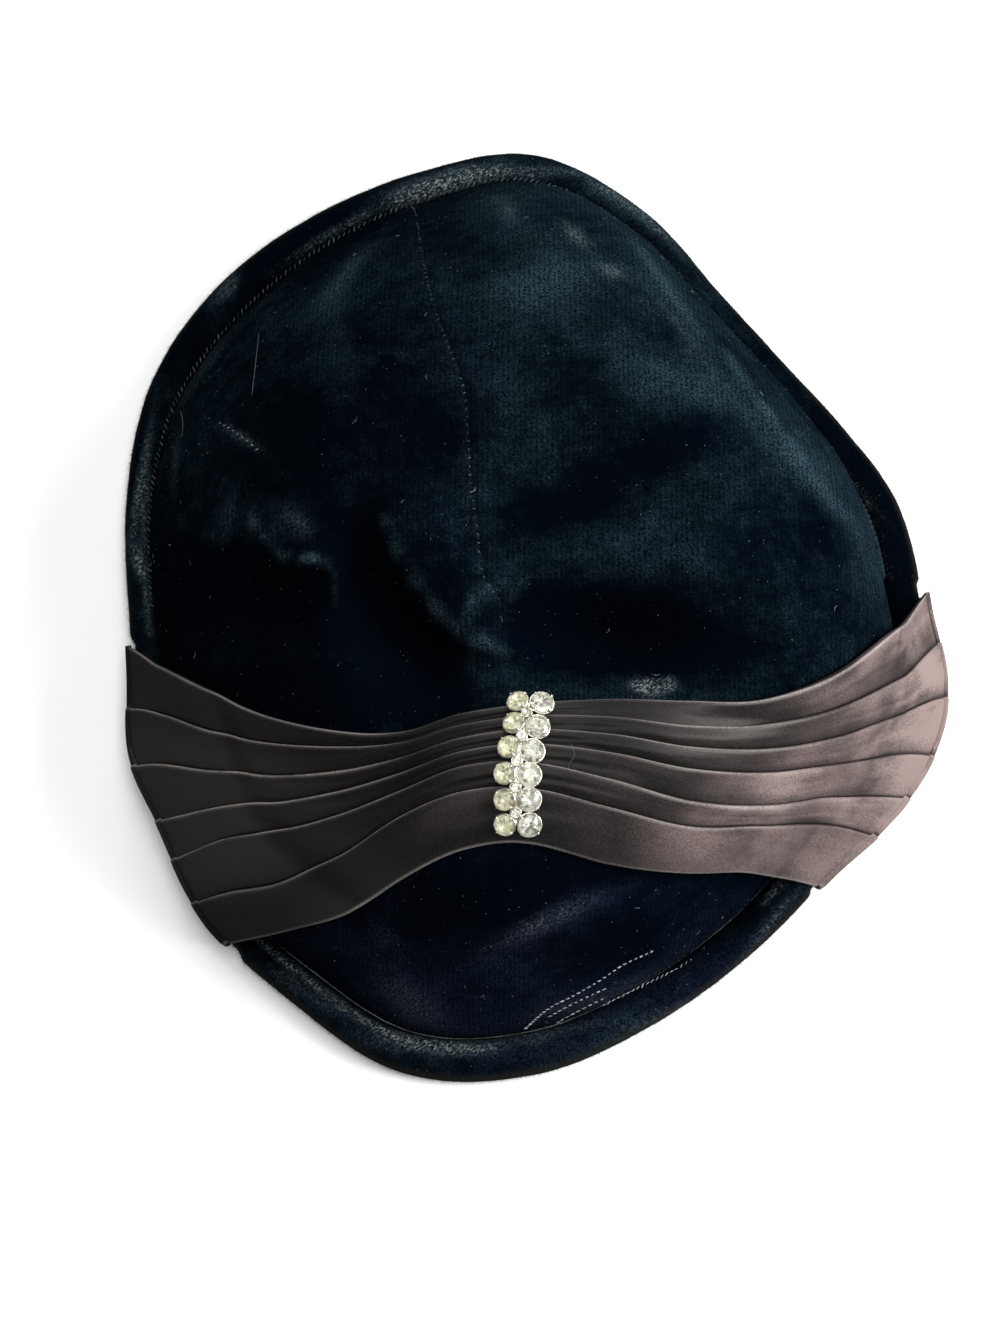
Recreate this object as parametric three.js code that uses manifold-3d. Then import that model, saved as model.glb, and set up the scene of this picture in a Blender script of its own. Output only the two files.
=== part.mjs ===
// A small soft velvet hat that rests on its rolled edge. A pleated satin band crosses its front from
// edge to edge and is pinched in the middle by a two-row rhinestone clasp. Behind the band the soft
// crown has sunk into hollows with standing folds. Millimetres, +Z up. The origin is on the resting
// plane under the middle of the hat, and the band and clasp face -Y.
import * as THREE from 'three';
import { mergeVertices } from 'three/addons/utils/BufferGeometryUtils.js';
import Module from 'manifold-3d';

const wasm = await Module();
wasm.setup();

// Driving dimensions of the velvet
const CROWN_HEIGHT = 76;
const FOOT_HEIGHT = 6;
const FOOT_CLEARANCE = 0.8;
const CROWN_WALL = 2.4;
const ROLL_HEIGHT = 7;
const GAP = 0.3;
const UNDER_BAND = 1.6;

// Driving dimensions of the satin band
const BAND_LIFT = 1.15;
const BAND_THIN = 1.0;
const PLEAT_STEP = 0.9;
const BAND_SIDE_GAP = 0.85;
const BAND_SQUEEZE = 2.0;
const BRIDGE_SLOPE = 1.45;
const BRIDGE_ROUND = 3;
const BRIDGE_DROP = 90;
const BRIDGE_BLEND = 3;
const PLEATS = 6;

// Driving dimensions of the clasp
const STONE_PITCH = 5.1;
const STONE_ROWS = 6;
const CLASP_FRONT = -58.6;
const CLASP_RISE = 2.9;
const COLUMN_OFFSET = 2.55;
const LARGE = { radius: 2.3, tilt: 6, cup: 1.9 };
const SMALL = { radius: 2.05, tilt: 20, cup: 1.4 };
const ACCENT = { radius: 0.95, tilt: 5, cup: 1.1 };
const SEAT_GAP = 0.35;
const PRONG_RADIUS = 0.28;
const SPINE = { halfWidth: 1.0, top: 0.9, bottom: 1.75 };

// The rim by bearing in degrees from +X towards +Y: how far the rolled edge reaches from the middle,
// how wide the roll is, and the two powers that shape the crown's shoulder above it
const RIM = [
  { bearing: 0, reach: 87.8, roll: 9.0, fullness: 3.8, steepness: 0.66 },
  { bearing: 15, reach: 85.8, roll: 9.5, fullness: 3.9, steepness: 0.64 },
  { bearing: 30, reach: 81.6, roll: 9.5, fullness: 4.2, steepness: 0.60 },
  { bearing: 45, reach: 80.4, roll: 9.0, fullness: 4.4, steepness: 0.58 },
  { bearing: 60, reach: 85.2, roll: 8.5, fullness: 4.0, steepness: 0.62 },
  { bearing: 75, reach: 97.0, roll: 8.0, fullness: 3.4, steepness: 0.76 },
  { bearing: 90, reach: 106.7, roll: 7.5, fullness: 3.0, steepness: 0.88 },
  { bearing: 105, reach: 105.7, roll: 8.0, fullness: 2.8, steepness: 0.95 },
  { bearing: 120, reach: 104.8, roll: 9.0, fullness: 2.7, steepness: 1.0 },
  { bearing: 135, reach: 103.9, roll: 9.5, fullness: 2.7, steepness: 1.0 },
  { bearing: 150, reach: 101.0, roll: 8.0, fullness: 2.7, steepness: 1.0 },
  { bearing: 165, reach: 95.3, roll: 6.5, fullness: 2.8, steepness: 0.95 },
  { bearing: 180, reach: 91.0, roll: 6.0, fullness: 2.9, steepness: 0.90 },
  { bearing: 195, reach: 91.2, roll: 7.0, fullness: 3.0, steepness: 0.86 },
  { bearing: 210, reach: 95.2, roll: 7.5, fullness: 3.0, steepness: 0.86 },
  { bearing: 225, reach: 101.5, roll: 7.5, fullness: 3.1, steepness: 0.86 },
  { bearing: 240, reach: 104.2, roll: 8.0, fullness: 3.3, steepness: 0.84 },
  { bearing: 255, reach: 108.8, roll: 9.0, fullness: 3.5, steepness: 0.82 },
  { bearing: 270, reach: 105.4, roll: 9.5, fullness: 3.6, steepness: 0.80 },
  { bearing: 285, reach: 98.2, roll: 9.0, fullness: 3.6, steepness: 0.80 },
  { bearing: 300, reach: 92.7, roll: 8.5, fullness: 3.6, steepness: 0.80 },
  { bearing: 315, reach: 89.8, roll: 8.5, fullness: 3.6, steepness: 0.78 },
  { bearing: 330, reach: 91.4, roll: 8.5, fullness: 3.7, steepness: 0.74 },
  { bearing: 345, reach: 92.8, roll: 9.0, fullness: 3.8, steepness: 0.70 },
];

// Hollows sunk into the crown: centre, half length and half width, direction in degrees and depth
const HOLLOWS = [
  { x: 2, y: -18, length: 52, width: 30, turn: -2, depth: 11 },
  { x: -27, y: -21, length: 17, width: 9, turn: -62, depth: 9 },
  { x: 10, y: -23, length: 24, width: 10, turn: -4, depth: 11 },
  { x: -62, y: -9, length: 17, width: 8, turn: -6, depth: 8 },
  { x: 25, y: 48, length: 46, width: 20, turn: 35, depth: 3 },
  { x: -20, y: 62, length: 14, width: 36, turn: -15, depth: 2 },
];

// Folds that stand beside the hollows: centre, direction in degrees, half length, how far the crest
// bends aside, height, and how far the cloth takes to fall on the high side and on the low side
const FOLDS = [
  { x: -16, y: -11, turn: -43, length: 21, bend: -4.5, height: 7.0, high: 15, low: 4.5 },
  { x: -50, y: -2.5, turn: -30, length: 14, bend: -3.5, height: 4.5, high: 9, low: 3.5 },
  { x: -46, y: -10, turn: -75, length: 9, bend: 1.0, height: 3.0, high: 7, low: 3.5 },
  { x: 16, y: -10, turn: -6, length: 24, bend: -2.0, height: 3.0, high: 12, low: 6 },
];

// The edges of the six pleats across the hat: at each x, the y of every edge from back to front
const PLEAT_EDGES = [
  { x: -92, edges: [-10.1, -25.0, -38.0, -50.7, -60.9, -71.1, -81.7] },
  { x: -80, edges: [-19.0, -29.0, -39.3, -50.4, -59.1, -69.4, -80.1] },
  { x: -66, edges: [-28.8, -36.5, -44.2, -51.3, -57.5, -67.5, -78.3] },
  { x: -52, edges: [-36.7, -41.5, -47.7, -52.6, -57.8, -67.3, -76.9] },
  { x: -38, edges: [-41.1, -43.8, -48.4, -51.9, -56.0, -63.2, -74.3] },
  { x: -26, edges: [-42.0, -43.9, -46.8, -49.6, -52.8, -57.4, -68.6] },
  { x: -15, edges: [-39.0, -41.2, -43.8, -46.4, -49.2, -53.8, -64.3] },
  { x: -3, edges: [-37.3, -39.6, -42.2, -44.9, -48.3, -53.0, -63.0] },
  { x: 14, edges: [-36.0, -39.4, -42.6, -46.0, -51.0, -56.0, -66.1] },
  { x: 30, edges: [-35.4, -40.1, -43.9, -47.8, -53.8, -58.1, -66.4] },
  { x: 46, edges: [-33.3, -37.9, -42.3, -46.5, -52.8, -55.9, -64.2] },
  { x: 62, edges: [-25.9, -32.6, -37.8, -42.5, -48.1, -52.8, -64.5] },
  { x: 78, edges: [-11.6, -22.6, -29.5, -37.4, -45.6, -53.8, -67.8] },
  { x: 92, edges: [5.2, -9.5, -22.8, -35.7, -44.6, -55.1, -70.7] },
];

// The arcs of the rim that the band's ends cover, and over how many degrees the roll rises there
const BAND_ARCS = [
  { from: 184, to: 233 },
  { from: 309, to: 366 },
];
const BAND_ARC_FADE = 4;

// The roll's section, as shares of its width and height, round from its flat underside
const ROLL_SECTION = [
  { across: -0.24, up: 0 },
  { across: 0.24, up: 0 },
  { across: 0.44, up: 0.2 },
  { across: 0.5, up: 0.48 },
  { across: 0.4, up: 0.8 },
  { across: 0.15, up: 0.98 },
  { across: -0.15, up: 0.98 },
  { across: -0.4, up: 0.76 },
  { across: -0.5, up: 0.42 },
];

// How the band goes round under the edge: distance in from the rim and height of its inner face
const WRAP = [
  { inward: 0.15, up: 2.3 },
  { inward: 1.4, up: 1.45 },
  { inward: 3.2, up: 1.25 },
  { inward: 8.5, up: 1.25 },
  { inward: 14, up: 1.25 },
];

// How finely the faceted solids are cut
const SECTORS = 64;
const RINGS = 17;
const BAND_STEPS = 28;
const CUP_SIDES = 8;

const velvet = new THREE.MeshStandardMaterial({ color: 0x0b1115, roughness: 0.95, metalness: 0 });
const satin = new THREE.MeshStandardMaterial({ color: 0x2e242a, roughness: 0.38, metalness: 0 });
const plating = new THREE.MeshStandardMaterial({ color: 0xc8c5b8, roughness: 0.28, metalness: 1 });
const paste = new THREE.MeshStandardMaterial({ color: 0xe9ead6, roughness: 0.05, metalness: 0 });

// Curves through the rows of a table

function smoothBetween(before, start, end, after, share) {
  return 0.5 * (2 * start + (end - before) * share
    + (2 * before - 5 * start + 4 * end - after) * share ** 2
    + (3 * (start - end) + after - before) * share ** 3);
}

function rimValue(column, angle) {
  const step = 360 / RIM.length;
  const place = ((THREE.MathUtils.radToDeg(angle) % 360) + 360) % 360 / step;
  const row = Math.floor(place);
  const value = (offset) => RIM[(row + offset + RIM.length) % RIM.length][column];
  return smoothBetween(value(-1), value(0), value(1), value(2), place - row);
}

function edgeY(edge, x) {
  const last = PLEAT_EDGES.length - 1;
  let row = 0;
  while (row < last - 1 && PLEAT_EDGES[row + 1].x < x) row += 1;
  const value = (index) => PLEAT_EDGES[THREE.MathUtils.clamp(index, 0, last)].edges[edge];
  const share = (x - PLEAT_EDGES[row].x) / (PLEAT_EDGES[row + 1].x - PLEAT_EDGES[row].x);
  if (share < 0 || share > 1) return THREE.MathUtils.lerp(value(row), value(row + 1), share);
  return smoothBetween(value(row - 1), value(row), value(row + 1), value(row + 2), share);
}

function bandY(across, x) {
  const edge = Math.min(Math.floor(across), PLEATS - 1);
  return THREE.MathUtils.lerp(edgeY(edge, x), edgeY(edge + 1, x), across - edge);
}

// The crown's outer surface as a height over the plane

function footReach(angle) {
  return rimValue('reach', angle) - rimValue('roll', angle) - GAP;
}

function domeHeight(x, y) {
  const angle = Math.atan2(y, x);
  const share = Math.min(Math.hypot(x, y) / footReach(angle), 1);
  const rise = (1 - share ** rimValue('fullness', angle)) ** rimValue('steepness', angle);
  return FOOT_HEIGHT + (CROWN_HEIGHT - FOOT_HEIGHT) * rise;
}

function alongAcross(shape, x, y) {
  const turn = THREE.MathUtils.degToRad(shape.turn);
  const along = (x - shape.x) * Math.cos(turn) + (y - shape.y) * Math.sin(turn);
  const across = (y - shape.y) * Math.cos(turn) - (x - shape.x) * Math.sin(turn);
  return { along, across };
}

function hollowDepth(hollow, x, y) {
  const { along, across } = alongAcross(hollow, x, y);
  return hollow.depth * Math.exp(-((along / hollow.length) ** 2) - (across / hollow.width) ** 2);
}

function foldHeight(fold, x, y) {
  const { along, across } = alongAcross(fold, x, y);
  const share = along / fold.length;
  const beside = across - fold.bend * (1 - share ** 2);
  const fall = beside > 0 ? fold.high : fold.low;
  return fold.height * Math.exp(-(share ** 4)) * Math.exp(-((beside / fall) ** 2));
}

function crownHeight(x, y) {
  const sunk = HOLLOWS.reduce((sum, hollow) => sum + hollowDepth(hollow, x, y), 0);
  const raised = FOLDS.reduce((sum, fold) => sum + foldHeight(fold, x, y), 0);
  return domeHeight(x, y) - sunk + raised;
}

function crownNormal(x, y) {
  const slopeX = (crownHeight(x + 0.5, y) - crownHeight(x - 0.5, y));
  const slopeY = (crownHeight(x, y + 0.5) - crownHeight(x, y - 0.5));
  return new THREE.Vector3(-slopeX, -slopeY, 1).normalize();
}

function aboveCrown(x, y, distance) {
  const point = new THREE.Vector3(x, y, crownHeight(x, y));
  return point.addScaledVector(crownNormal(x, y), distance);
}

// How far a bearing lies inside the arcs that the band covers, from 0 to 1

function underBand(angle) {
  const bearing = ((THREE.MathUtils.radToDeg(angle) % 360) + 360) % 360;
  const cover = BAND_ARCS.map(({ from, to }) => {
    const turned = bearing < from - 180 ? bearing + 360 : bearing;
    const enter = THREE.MathUtils.smoothstep(turned, from - BAND_ARC_FADE, from);
    const leave = THREE.MathUtils.smoothstep(turned, to, to + BAND_ARC_FADE);
    return enter * (1 - leave);
  });
  return Math.max(...cover);
}

// Meshes from points and triangles

function solid(name, points, triangles, material) {
  const geometry = new THREE.BufferGeometry();
  geometry.setAttribute('position', new THREE.Float32BufferAttribute(points.flatMap((p) => p.toArray()), 3));
  geometry.setIndex(triangles.flat());
  geometry.computeVertexNormals();
  const mesh = new THREE.Mesh(geometry, material);
  mesh.name = name;
  return mesh;
}

function quads(rowA, rowB) {
  return rowA.flatMap((corner, index) => {
    const next = (index + 1) % rowA.length;
    return [[corner, rowA[next], rowB[next]], [corner, rowB[next], rowB[index]]];
  });
}

function onRadius(angle, radius, z) {
  return new THREE.Vector3(Math.cos(angle) * radius, Math.sin(angle) * radius, z);
}

// The crown is a wall of even thickness, open underneath

function makeCrown() {
  const angles = Array.from({ length: SECTORS }, (_, j) => (2 * Math.PI * j) / SECTORS);
  const points = [];
  const triangles = [];
  const addRing = (place) => angles.map((angle) => points.push(place(angle)) - 1);
  const skin = (distance) => {
    const apex = points.push(aboveCrown(0, 0, -distance)) - 1;
    const rings = [];
    for (let ring = 1; ring < RINGS; ring += 1) {
      const turn = ring / RINGS;
      const share = 0.5 * turn + 0.5 * Math.sin((turn * Math.PI) / 2);
      rings.push(addRing((angle) => {
        const radius = share * footReach(angle);
        return aboveCrown(Math.cos(angle) * radius, Math.sin(angle) * radius, -distance);
      }));
    }
    rings.push(addRing((angle) => onRadius(angle, footReach(angle) - distance, FOOT_HEIGHT)));
    rings.push(addRing((angle) => {
      const bottom = FOOT_CLEARANCE + (UNDER_BAND + GAP - FOOT_CLEARANCE) * underBand(angle);
      return onRadius(angle, footReach(angle) - distance, bottom);
    }));
    return { apex, rings };
  };
  const outer = skin(0);
  const inner = skin(CROWN_WALL);
  [outer, inner].forEach(({ apex, rings }, side) => {
    const faces = [];
    rings[0].forEach((corner, j) => faces.push([apex, corner, rings[0][(j + 1) % SECTORS]]));
    for (let ring = 0; ring < rings.length - 1; ring += 1) faces.push(...quads(rings[ring + 1], rings[ring]));
    triangles.push(...(side === 0 ? faces : faces.map((face) => [...face].reverse())));
  });
  triangles.push(...quads(inner.rings.at(-1), outer.rings.at(-1)));
  return solid('crown', points, triangles, velvet);
}

// The edge roll is a padded velvet tube with a flat underside, squeezed thinner where the band wraps it

function makeEdgeRoll() {
  const points = [];
  const rows = Array.from({ length: SECTORS }, (_, j) => {
    const angle = (2 * Math.PI * j) / SECTORS;
    const squeeze = BAND_SQUEEZE * underBand(angle);
    const width = rimValue('roll', angle) - squeeze;
    const middle = rimValue('reach', angle) - squeeze - width / 2;
    const bottom = UNDER_BAND * underBand(angle);
    const height = ROLL_HEIGHT - bottom;
    return ROLL_SECTION.map(({ across, up }) => (
      points.push(onRadius(angle, middle + across * width, bottom + up * height)) - 1));
  });
  const triangles = rows.flatMap((row, j) => quads(rows[(j + 1) % SECTORS], row));
  return solid('edge_roll', points, triangles, velvet);
}

// The satin band: where each pleat edge meets the rim, its inner face, and the pleats on that face

function bandReach(angle) {
  return rimValue('reach', angle) - BAND_SQUEEZE + BAND_SIDE_GAP;
}

function bandEndX(across, side) {
  let inside = 0;
  let outside = side * 110;
  for (let step = 0; step < 40; step += 1) {
    const x = (inside + outside) / 2;
    const y = bandY(across, x);
    if (Math.hypot(x, y) < bandReach(Math.atan2(y, x))) inside = x;
    else outside = x;
  }
  return inside;
}

function blendedMax(first, second, softness) {
  const larger = Math.max(first, second);
  const smaller = Math.min(first, second);
  return larger + softness * Math.log1p(Math.exp((smaller - larger) / softness));
}

// Near the rim the band leaves the crown and runs straight down to the outside of the roll, which it rounds
function bandHeight(x, y) {
  const reach = bandReach(Math.atan2(y, x));
  const inward = Math.max(reach - Math.hypot(x, y), 0);
  const share = 1 - inward / reach;
  const side = ROLL_HEIGHT / 2 + 0.5;
  const slope = Math.sqrt((BRIDGE_SLOPE * inward) ** 2 + 2 * BRIDGE_ROUND * inward);
  const bridge = side + slope - BRIDGE_DROP * (1 - THREE.MathUtils.smoothstep(share, 0.5, 0.8));
  const normal = crownNormal(x, y);
  const lift = Math.min(BAND_LIFT / normal.z, 3 * BAND_LIFT);
  const onCrown = crownHeight(x, y) + lift;
  const settle = 1 - THREE.MathUtils.smoothstep(share, 0.9, 1);
  return blendedMax(bridge, onCrown, BRIDGE_BLEND * settle + 0.05);
}

function bandPath(across) {
  const ends = [-1, 1].map((side) => {
    const x = bandEndX(across, side);
    const y = bandY(across, x);
    const angle = Math.atan2(y, x);
    const wrap = WRAP.map(({ inward, up }) => onRadius(angle, bandReach(angle) - inward, up));
    return { x, wrap };
  });
  const over = Array.from({ length: BAND_STEPS + 1 }, (_, step) => {
    const share = 0.5 - 0.5 * Math.cos((Math.PI * step) / BAND_STEPS);
    const x = THREE.MathUtils.lerp(ends[0].x, ends[1].x, share);
    const y = bandY(across, x);
    return new THREE.Vector3(x, y, bandHeight(x, y));
  });
  return [...[...ends[0].wrap].reverse(), ...over, ...ends[1].wrap];
}

function makeBand() {
  // Each pleat is thick at its folded back edge and thin where the next pleat covers it
  const stops = [];
  for (let pleat = 0; pleat < PLEATS; pleat += 1) {
    const end = pleat === PLEATS - 1 ? PLEATS : pleat + 0.97;
    stops.push({ across: pleat, fold: 1 }, { across: pleat + 0.5, fold: 0.55 }, { across: end, fold: 0 });
  }
  const nudge = 0.02;
  const paths = stops.map(({ across }) => {
    const back = bandPath(Math.max(across - nudge, 0));
    const front = bandPath(Math.min(across + nudge, PLEATS));
    return { middle: bandPath(across), back, front };
  });
  const inner = Array.from({ length: PLEATS + 1 }, (_, edge) => bandPath(edge));
  const count = inner[0].length;
  const points = [];
  const rows = Array.from({ length: count }, (_, station) => {
    const top = paths.map(({ middle, back, front }, stop) => {
      const before = middle[Math.max(station - 1, 0)];
      const after = middle[Math.min(station + 1, count - 1)];
      const along = after.clone().sub(before);
      const across = back[station].clone().sub(front[station]);
      const out = along.cross(across).normalize();
      const fromEnd = Math.min(station, count - 1 - station);
      const step = fromEnd < WRAP.length ? 0 : PLEAT_STEP;
      return points.push(middle[station].clone().addScaledVector(out, BAND_THIN + step * stops[stop].fold)) - 1;
    });
    const under = inner.map((path) => points.push(path[station].clone()) - 1);
    return { top, under };
  });
  const triangles = [];
  for (let station = 0; station < count - 1; station += 1) {
    const loop = ({ top, under }) => [...top, ...[...under].reverse()];
    triangles.push(...quads(loop(rows[station]), loop(rows[station + 1])));
  }
  const cap = ({ top, under }) => {
    const faces = [];
    for (let pleat = 0; pleat < PLEATS; pleat += 1) {
      const first = 3 * pleat;
      faces.push([under[pleat], top[first], top[first + 1]]);
      faces.push([under[pleat], top[first + 1], under[pleat + 1]]);
      faces.push([under[pleat + 1], top[first + 1], top[first + 2]]);
      if (pleat < PLEATS - 1) faces.push([under[pleat + 1], top[first + 2], top[first + 3]]);
    }
    return faces;
  };
  triangles.push(...cap(rows[0]).map((face) => [...face].reverse()), ...cap(rows.at(-1)));
  return solid('satin_band', points, triangles, satin);
}

// The clasp's ridge runs over the band, and a frame there gives along, right and outward

function ridgeX(y) {
  return -4.4 + 2.6 * THREE.MathUtils.smoothstep(y, -52, -36);
}

function ridgeFrame(y) {
  const height = BAND_LIFT + BAND_THIN + PLEAT_STEP + CLASP_RISE;
  const place = (at) => aboveCrown(ridgeX(at), at, height);
  const origin = place(y);
  const along = place(y + 0.5).sub(place(y - 0.5)).normalize();
  const normal = crownNormal(ridgeX(y), y);
  const right = along.clone().cross(normal).normalize();
  return { origin, along, right, out: right.clone().cross(along).normalize() };
}

function claspRows() {
  const rows = [CLASP_FRONT];
  while (rows.length < STONE_ROWS) {
    const last = ridgeFrame(rows.at(-1)).origin;
    let near = rows.at(-1);
    let far = near + 2 * STONE_PITCH;
    for (let step = 0; step < 40; step += 1) {
      const middle = (near + far) / 2;
      if (ridgeFrame(middle).origin.distanceTo(last) < STONE_PITCH) near = middle;
      else far = middle;
    }
    rows.push(near);
  }
  return rows.reverse();
}

function seat(kind, y, side, offset) {
  const { origin, along, right, out } = ridgeFrame(y);
  const tilt = THREE.MathUtils.degToRad(kind.tilt) * side;
  const sideways = right.clone().applyAxisAngle(along, tilt);
  const axis = out.clone().applyAxisAngle(along, tilt);
  const matrix = new THREE.Matrix4().makeBasis(sideways, along, axis);
  matrix.setPosition(origin.addScaledVector(sideways, side * offset));
  return matrix;
}

function stoneSeats() {
  const rows = claspRows();
  const seats = [];
  rows.forEach((y, row) => {
    seats.push({ name: `stone_large_${row + 1}`, kind: LARGE, side: 1, matrix: seat(LARGE, y, 1, COLUMN_OFFSET) });
    seats.push({ name: `stone_small_${row + 1}`, kind: SMALL, side: -1, matrix: seat(SMALL, y, -1, COLUMN_OFFSET) });
  });
  for (let gap = 0; gap < STONE_ROWS - 1; gap += 1) {
    const y = (rows[gap] + rows[gap + 1]) / 2;
    seats.push({ name: `stone_accent_${gap + 1}`, kind: ACCENT, side: -1, matrix: seat(ACCENT, y, -1, 0.2) });
  }
  return seats;
}

function makeStone({ name, kind, matrix }) {
  const { radius, cup } = kind;
  const profile = [
    [0, -(cup - 2 * SEAT_GAP)],
    [radius, 0],
    [radius, 0.15],
    [radius * 0.58, radius * 0.32],
    [0, radius * 0.32],
  ];
  const geometry = new THREE.LatheGeometry(profile.map(([x, y]) => new THREE.Vector2(x, y)), CUP_SIDES);
  const mesh = new THREE.Mesh(mergedGeometry(geometry.rotateX(Math.PI / 2).applyMatrix4(matrix)), paste);
  mesh.name = name;
  return mesh;
}

// Solids for joining

function mergedGeometry(geometry) {
  const plain = geometry.index ? geometry : geometry.clone();
  plain.deleteAttribute('normal');
  plain.deleteAttribute('uv');
  const merged = mergeVertices(plain, 1e-4);
  const corners = merged.index.array;
  const kept = [];
  for (let face = 0; face < corners.length; face += 3) {
    const [a, b, c] = corners.slice(face, face + 3);
    if (a !== b && b !== c && c !== a) kept.push(a, b, c);
  }
  merged.setIndex(kept);
  merged.computeVertexNormals();
  return merged;
}

function asManifold(geometry) {
  const merged = mergedGeometry(geometry);
  const vertProperties = new Float32Array(merged.attributes.position.array);
  const triVerts = new Uint32Array(merged.index.array);
  return new wasm.Manifold(new wasm.Mesh({ numProp: 3, vertProperties, triVerts }));
}

function makeCup({ kind, matrix }) {
  const { radius, cup } = kind;
  const profile = [
    [0, -cup],
    [radius * 0.66, -cup],
    [radius + 0.22, -SEAT_GAP],
    [radius - 0.12, -SEAT_GAP],
    [0, -cup + SEAT_GAP],
  ];
  const geometry = new THREE.LatheGeometry(profile.map(([x, y]) => new THREE.Vector2(x, y)), CUP_SIDES);
  return geometry.rotateX(Math.PI / 2).applyMatrix4(matrix);
}

function makeProngs({ kind, side, matrix }) {
  return [-45, 45].map((degrees) => {
    const angle = THREE.MathUtils.degToRad(degrees) + (side > 0 ? 0 : Math.PI);
    const length = kind.cup * 0.6 + 0.5;
    const prong = new THREE.CylinderGeometry(PRONG_RADIUS, PRONG_RADIUS, length, 6).rotateX(Math.PI / 2);
    const reach = kind.radius + PRONG_RADIUS + 0.25;
    prong.translate(Math.cos(angle) * reach, Math.sin(angle) * reach, 0.5 - length / 2);
    const foot = new THREE.BoxGeometry(0.9, 0.4, 0.4);
    foot.rotateZ(angle);
    foot.translate(Math.cos(angle) * (reach - 0.35), Math.sin(angle) * (reach - 0.35), -SEAT_GAP - 0.35);
    return [prong.applyMatrix4(matrix), foot.applyMatrix4(matrix)];
  }).flat();
}

function makeSpine() {
  const rows = claspRows();
  const points = [];
  const steps = 2 * STONE_ROWS;
  const sections = Array.from({ length: steps + 1 }, (_, step) => {
    const y = THREE.MathUtils.lerp(rows.at(-1), rows[0], step / steps);
    const { origin, right, out } = ridgeFrame(y);
    const corner = (side, depth) => (
      points.push(origin.clone().addScaledVector(right, side * SPINE.halfWidth).addScaledVector(out, -depth)) - 1);
    return [corner(-1, SPINE.bottom), corner(1, SPINE.bottom), corner(1, SPINE.top), corner(-1, SPINE.top)];
  });
  const triangles = [];
  for (let step = 0; step < steps; step += 1) triangles.push(...quads(sections[step + 1], sections[step]));
  const [a, b, c, d] = sections[0];
  triangles.push([a, b, c], [a, c, d]);
  const [e, f, g, h] = sections.at(-1);
  triangles.push([g, f, e], [h, g, e]);
  return solid('spine', points, triangles, plating).geometry;
}

function makeSetting(seats) {
  const pieces = [makeSpine(), ...seats.map(makeCup)];
  pieces.push(...seats.filter(({ kind }) => kind !== ACCENT).flatMap(makeProngs));
  const joined = pieces.map(asManifold).reduce((whole, piece) => whole.add(piece));
  // Solder fills the small voids that the cups close off between them
  const soldered = wasm.Manifold.compose(joined.decompose().filter((shell) => shell.volume() > 0));
  const { vertProperties, triVerts } = soldered.getMesh();
  const geometry = new THREE.BufferGeometry();
  geometry.setAttribute('position', new THREE.BufferAttribute(new Float32Array(vertProperties), 3));
  geometry.setIndex(new THREE.BufferAttribute(new Uint32Array(triVerts), 1));
  geometry.computeVertexNormals();
  const mesh = new THREE.Mesh(geometry, plating);
  mesh.name = 'clasp_setting';
  return mesh;
}

const seats = stoneSeats();
const hat = new THREE.Group();
hat.name = 'cocktail_hat';
hat.add(makeCrown());
hat.add(makeEdgeRoll());
hat.add(makeBand());
hat.add(makeSetting(seats));
seats.forEach((place) => hat.add(makeStone(place)));

export default hat;
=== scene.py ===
"""The looks of a small soft velvet hat with a pleated satin band and a rhinestone clasp.

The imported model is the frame. The crown, the edge roll and the band are made again here as fine cloth in
the same places, and the clasp gets its cups, claws and cut stones. Tables and sizes are in millimetres,
and pixels are those of the 1000 by 1330 photograph.
"""

from __future__ import annotations

import logging
import math
from dataclasses import dataclass, field
from enum import Enum
from typing import Callable, NamedTuple, Sequence

import bmesh
import bpy
import numpy as np
from mathutils import Matrix, Vector

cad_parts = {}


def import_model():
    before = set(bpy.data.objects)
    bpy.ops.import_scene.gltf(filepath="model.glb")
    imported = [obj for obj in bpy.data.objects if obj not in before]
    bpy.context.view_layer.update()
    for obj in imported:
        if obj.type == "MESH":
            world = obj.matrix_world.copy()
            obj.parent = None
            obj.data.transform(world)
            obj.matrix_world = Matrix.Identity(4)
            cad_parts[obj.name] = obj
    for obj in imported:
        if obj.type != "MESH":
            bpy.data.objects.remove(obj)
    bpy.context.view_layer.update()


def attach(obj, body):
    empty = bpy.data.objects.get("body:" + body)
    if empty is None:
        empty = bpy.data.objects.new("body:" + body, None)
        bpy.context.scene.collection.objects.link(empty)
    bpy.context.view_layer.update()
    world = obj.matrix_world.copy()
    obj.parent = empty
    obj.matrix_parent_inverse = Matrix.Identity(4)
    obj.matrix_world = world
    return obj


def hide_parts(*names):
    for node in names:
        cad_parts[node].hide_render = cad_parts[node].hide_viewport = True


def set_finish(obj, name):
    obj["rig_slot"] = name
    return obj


Array = np.ndarray
Colour = tuple[float, float, float]
Pixels = tuple[tuple[float, float], ...]
Height = Callable[[Array, Array], Array]
Values = dict | None
Piece = bpy.types.Object
Finish = bpy.types.Material
Socket = bpy.types.NodeSocket
LOG = logging.getLogger("hat")
METRES = 0.001
NO_SEAM = 99.0
HALVINGS = 40
BODY = "root"


class RimRow(NamedTuple):
    """The edge at one bearing: the roll's reach and width, and the two powers of the crown's shoulder."""

    bearing: float
    reach: float
    roll: float
    fullness: float
    steepness: float


class Hollow(NamedTuple):
    """A place where the crown has sunk: its middle, half sizes, direction in degrees and depth."""

    x: float
    y: float
    length: float
    width: float
    turn: float
    depth: float


class Fold(NamedTuple):
    """A standing fold: its middle, direction, half length, bend, height and its fall on either side."""

    x: float
    y: float
    turn: float
    length: float
    bend: float
    height: float
    high: float
    low: float


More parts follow.
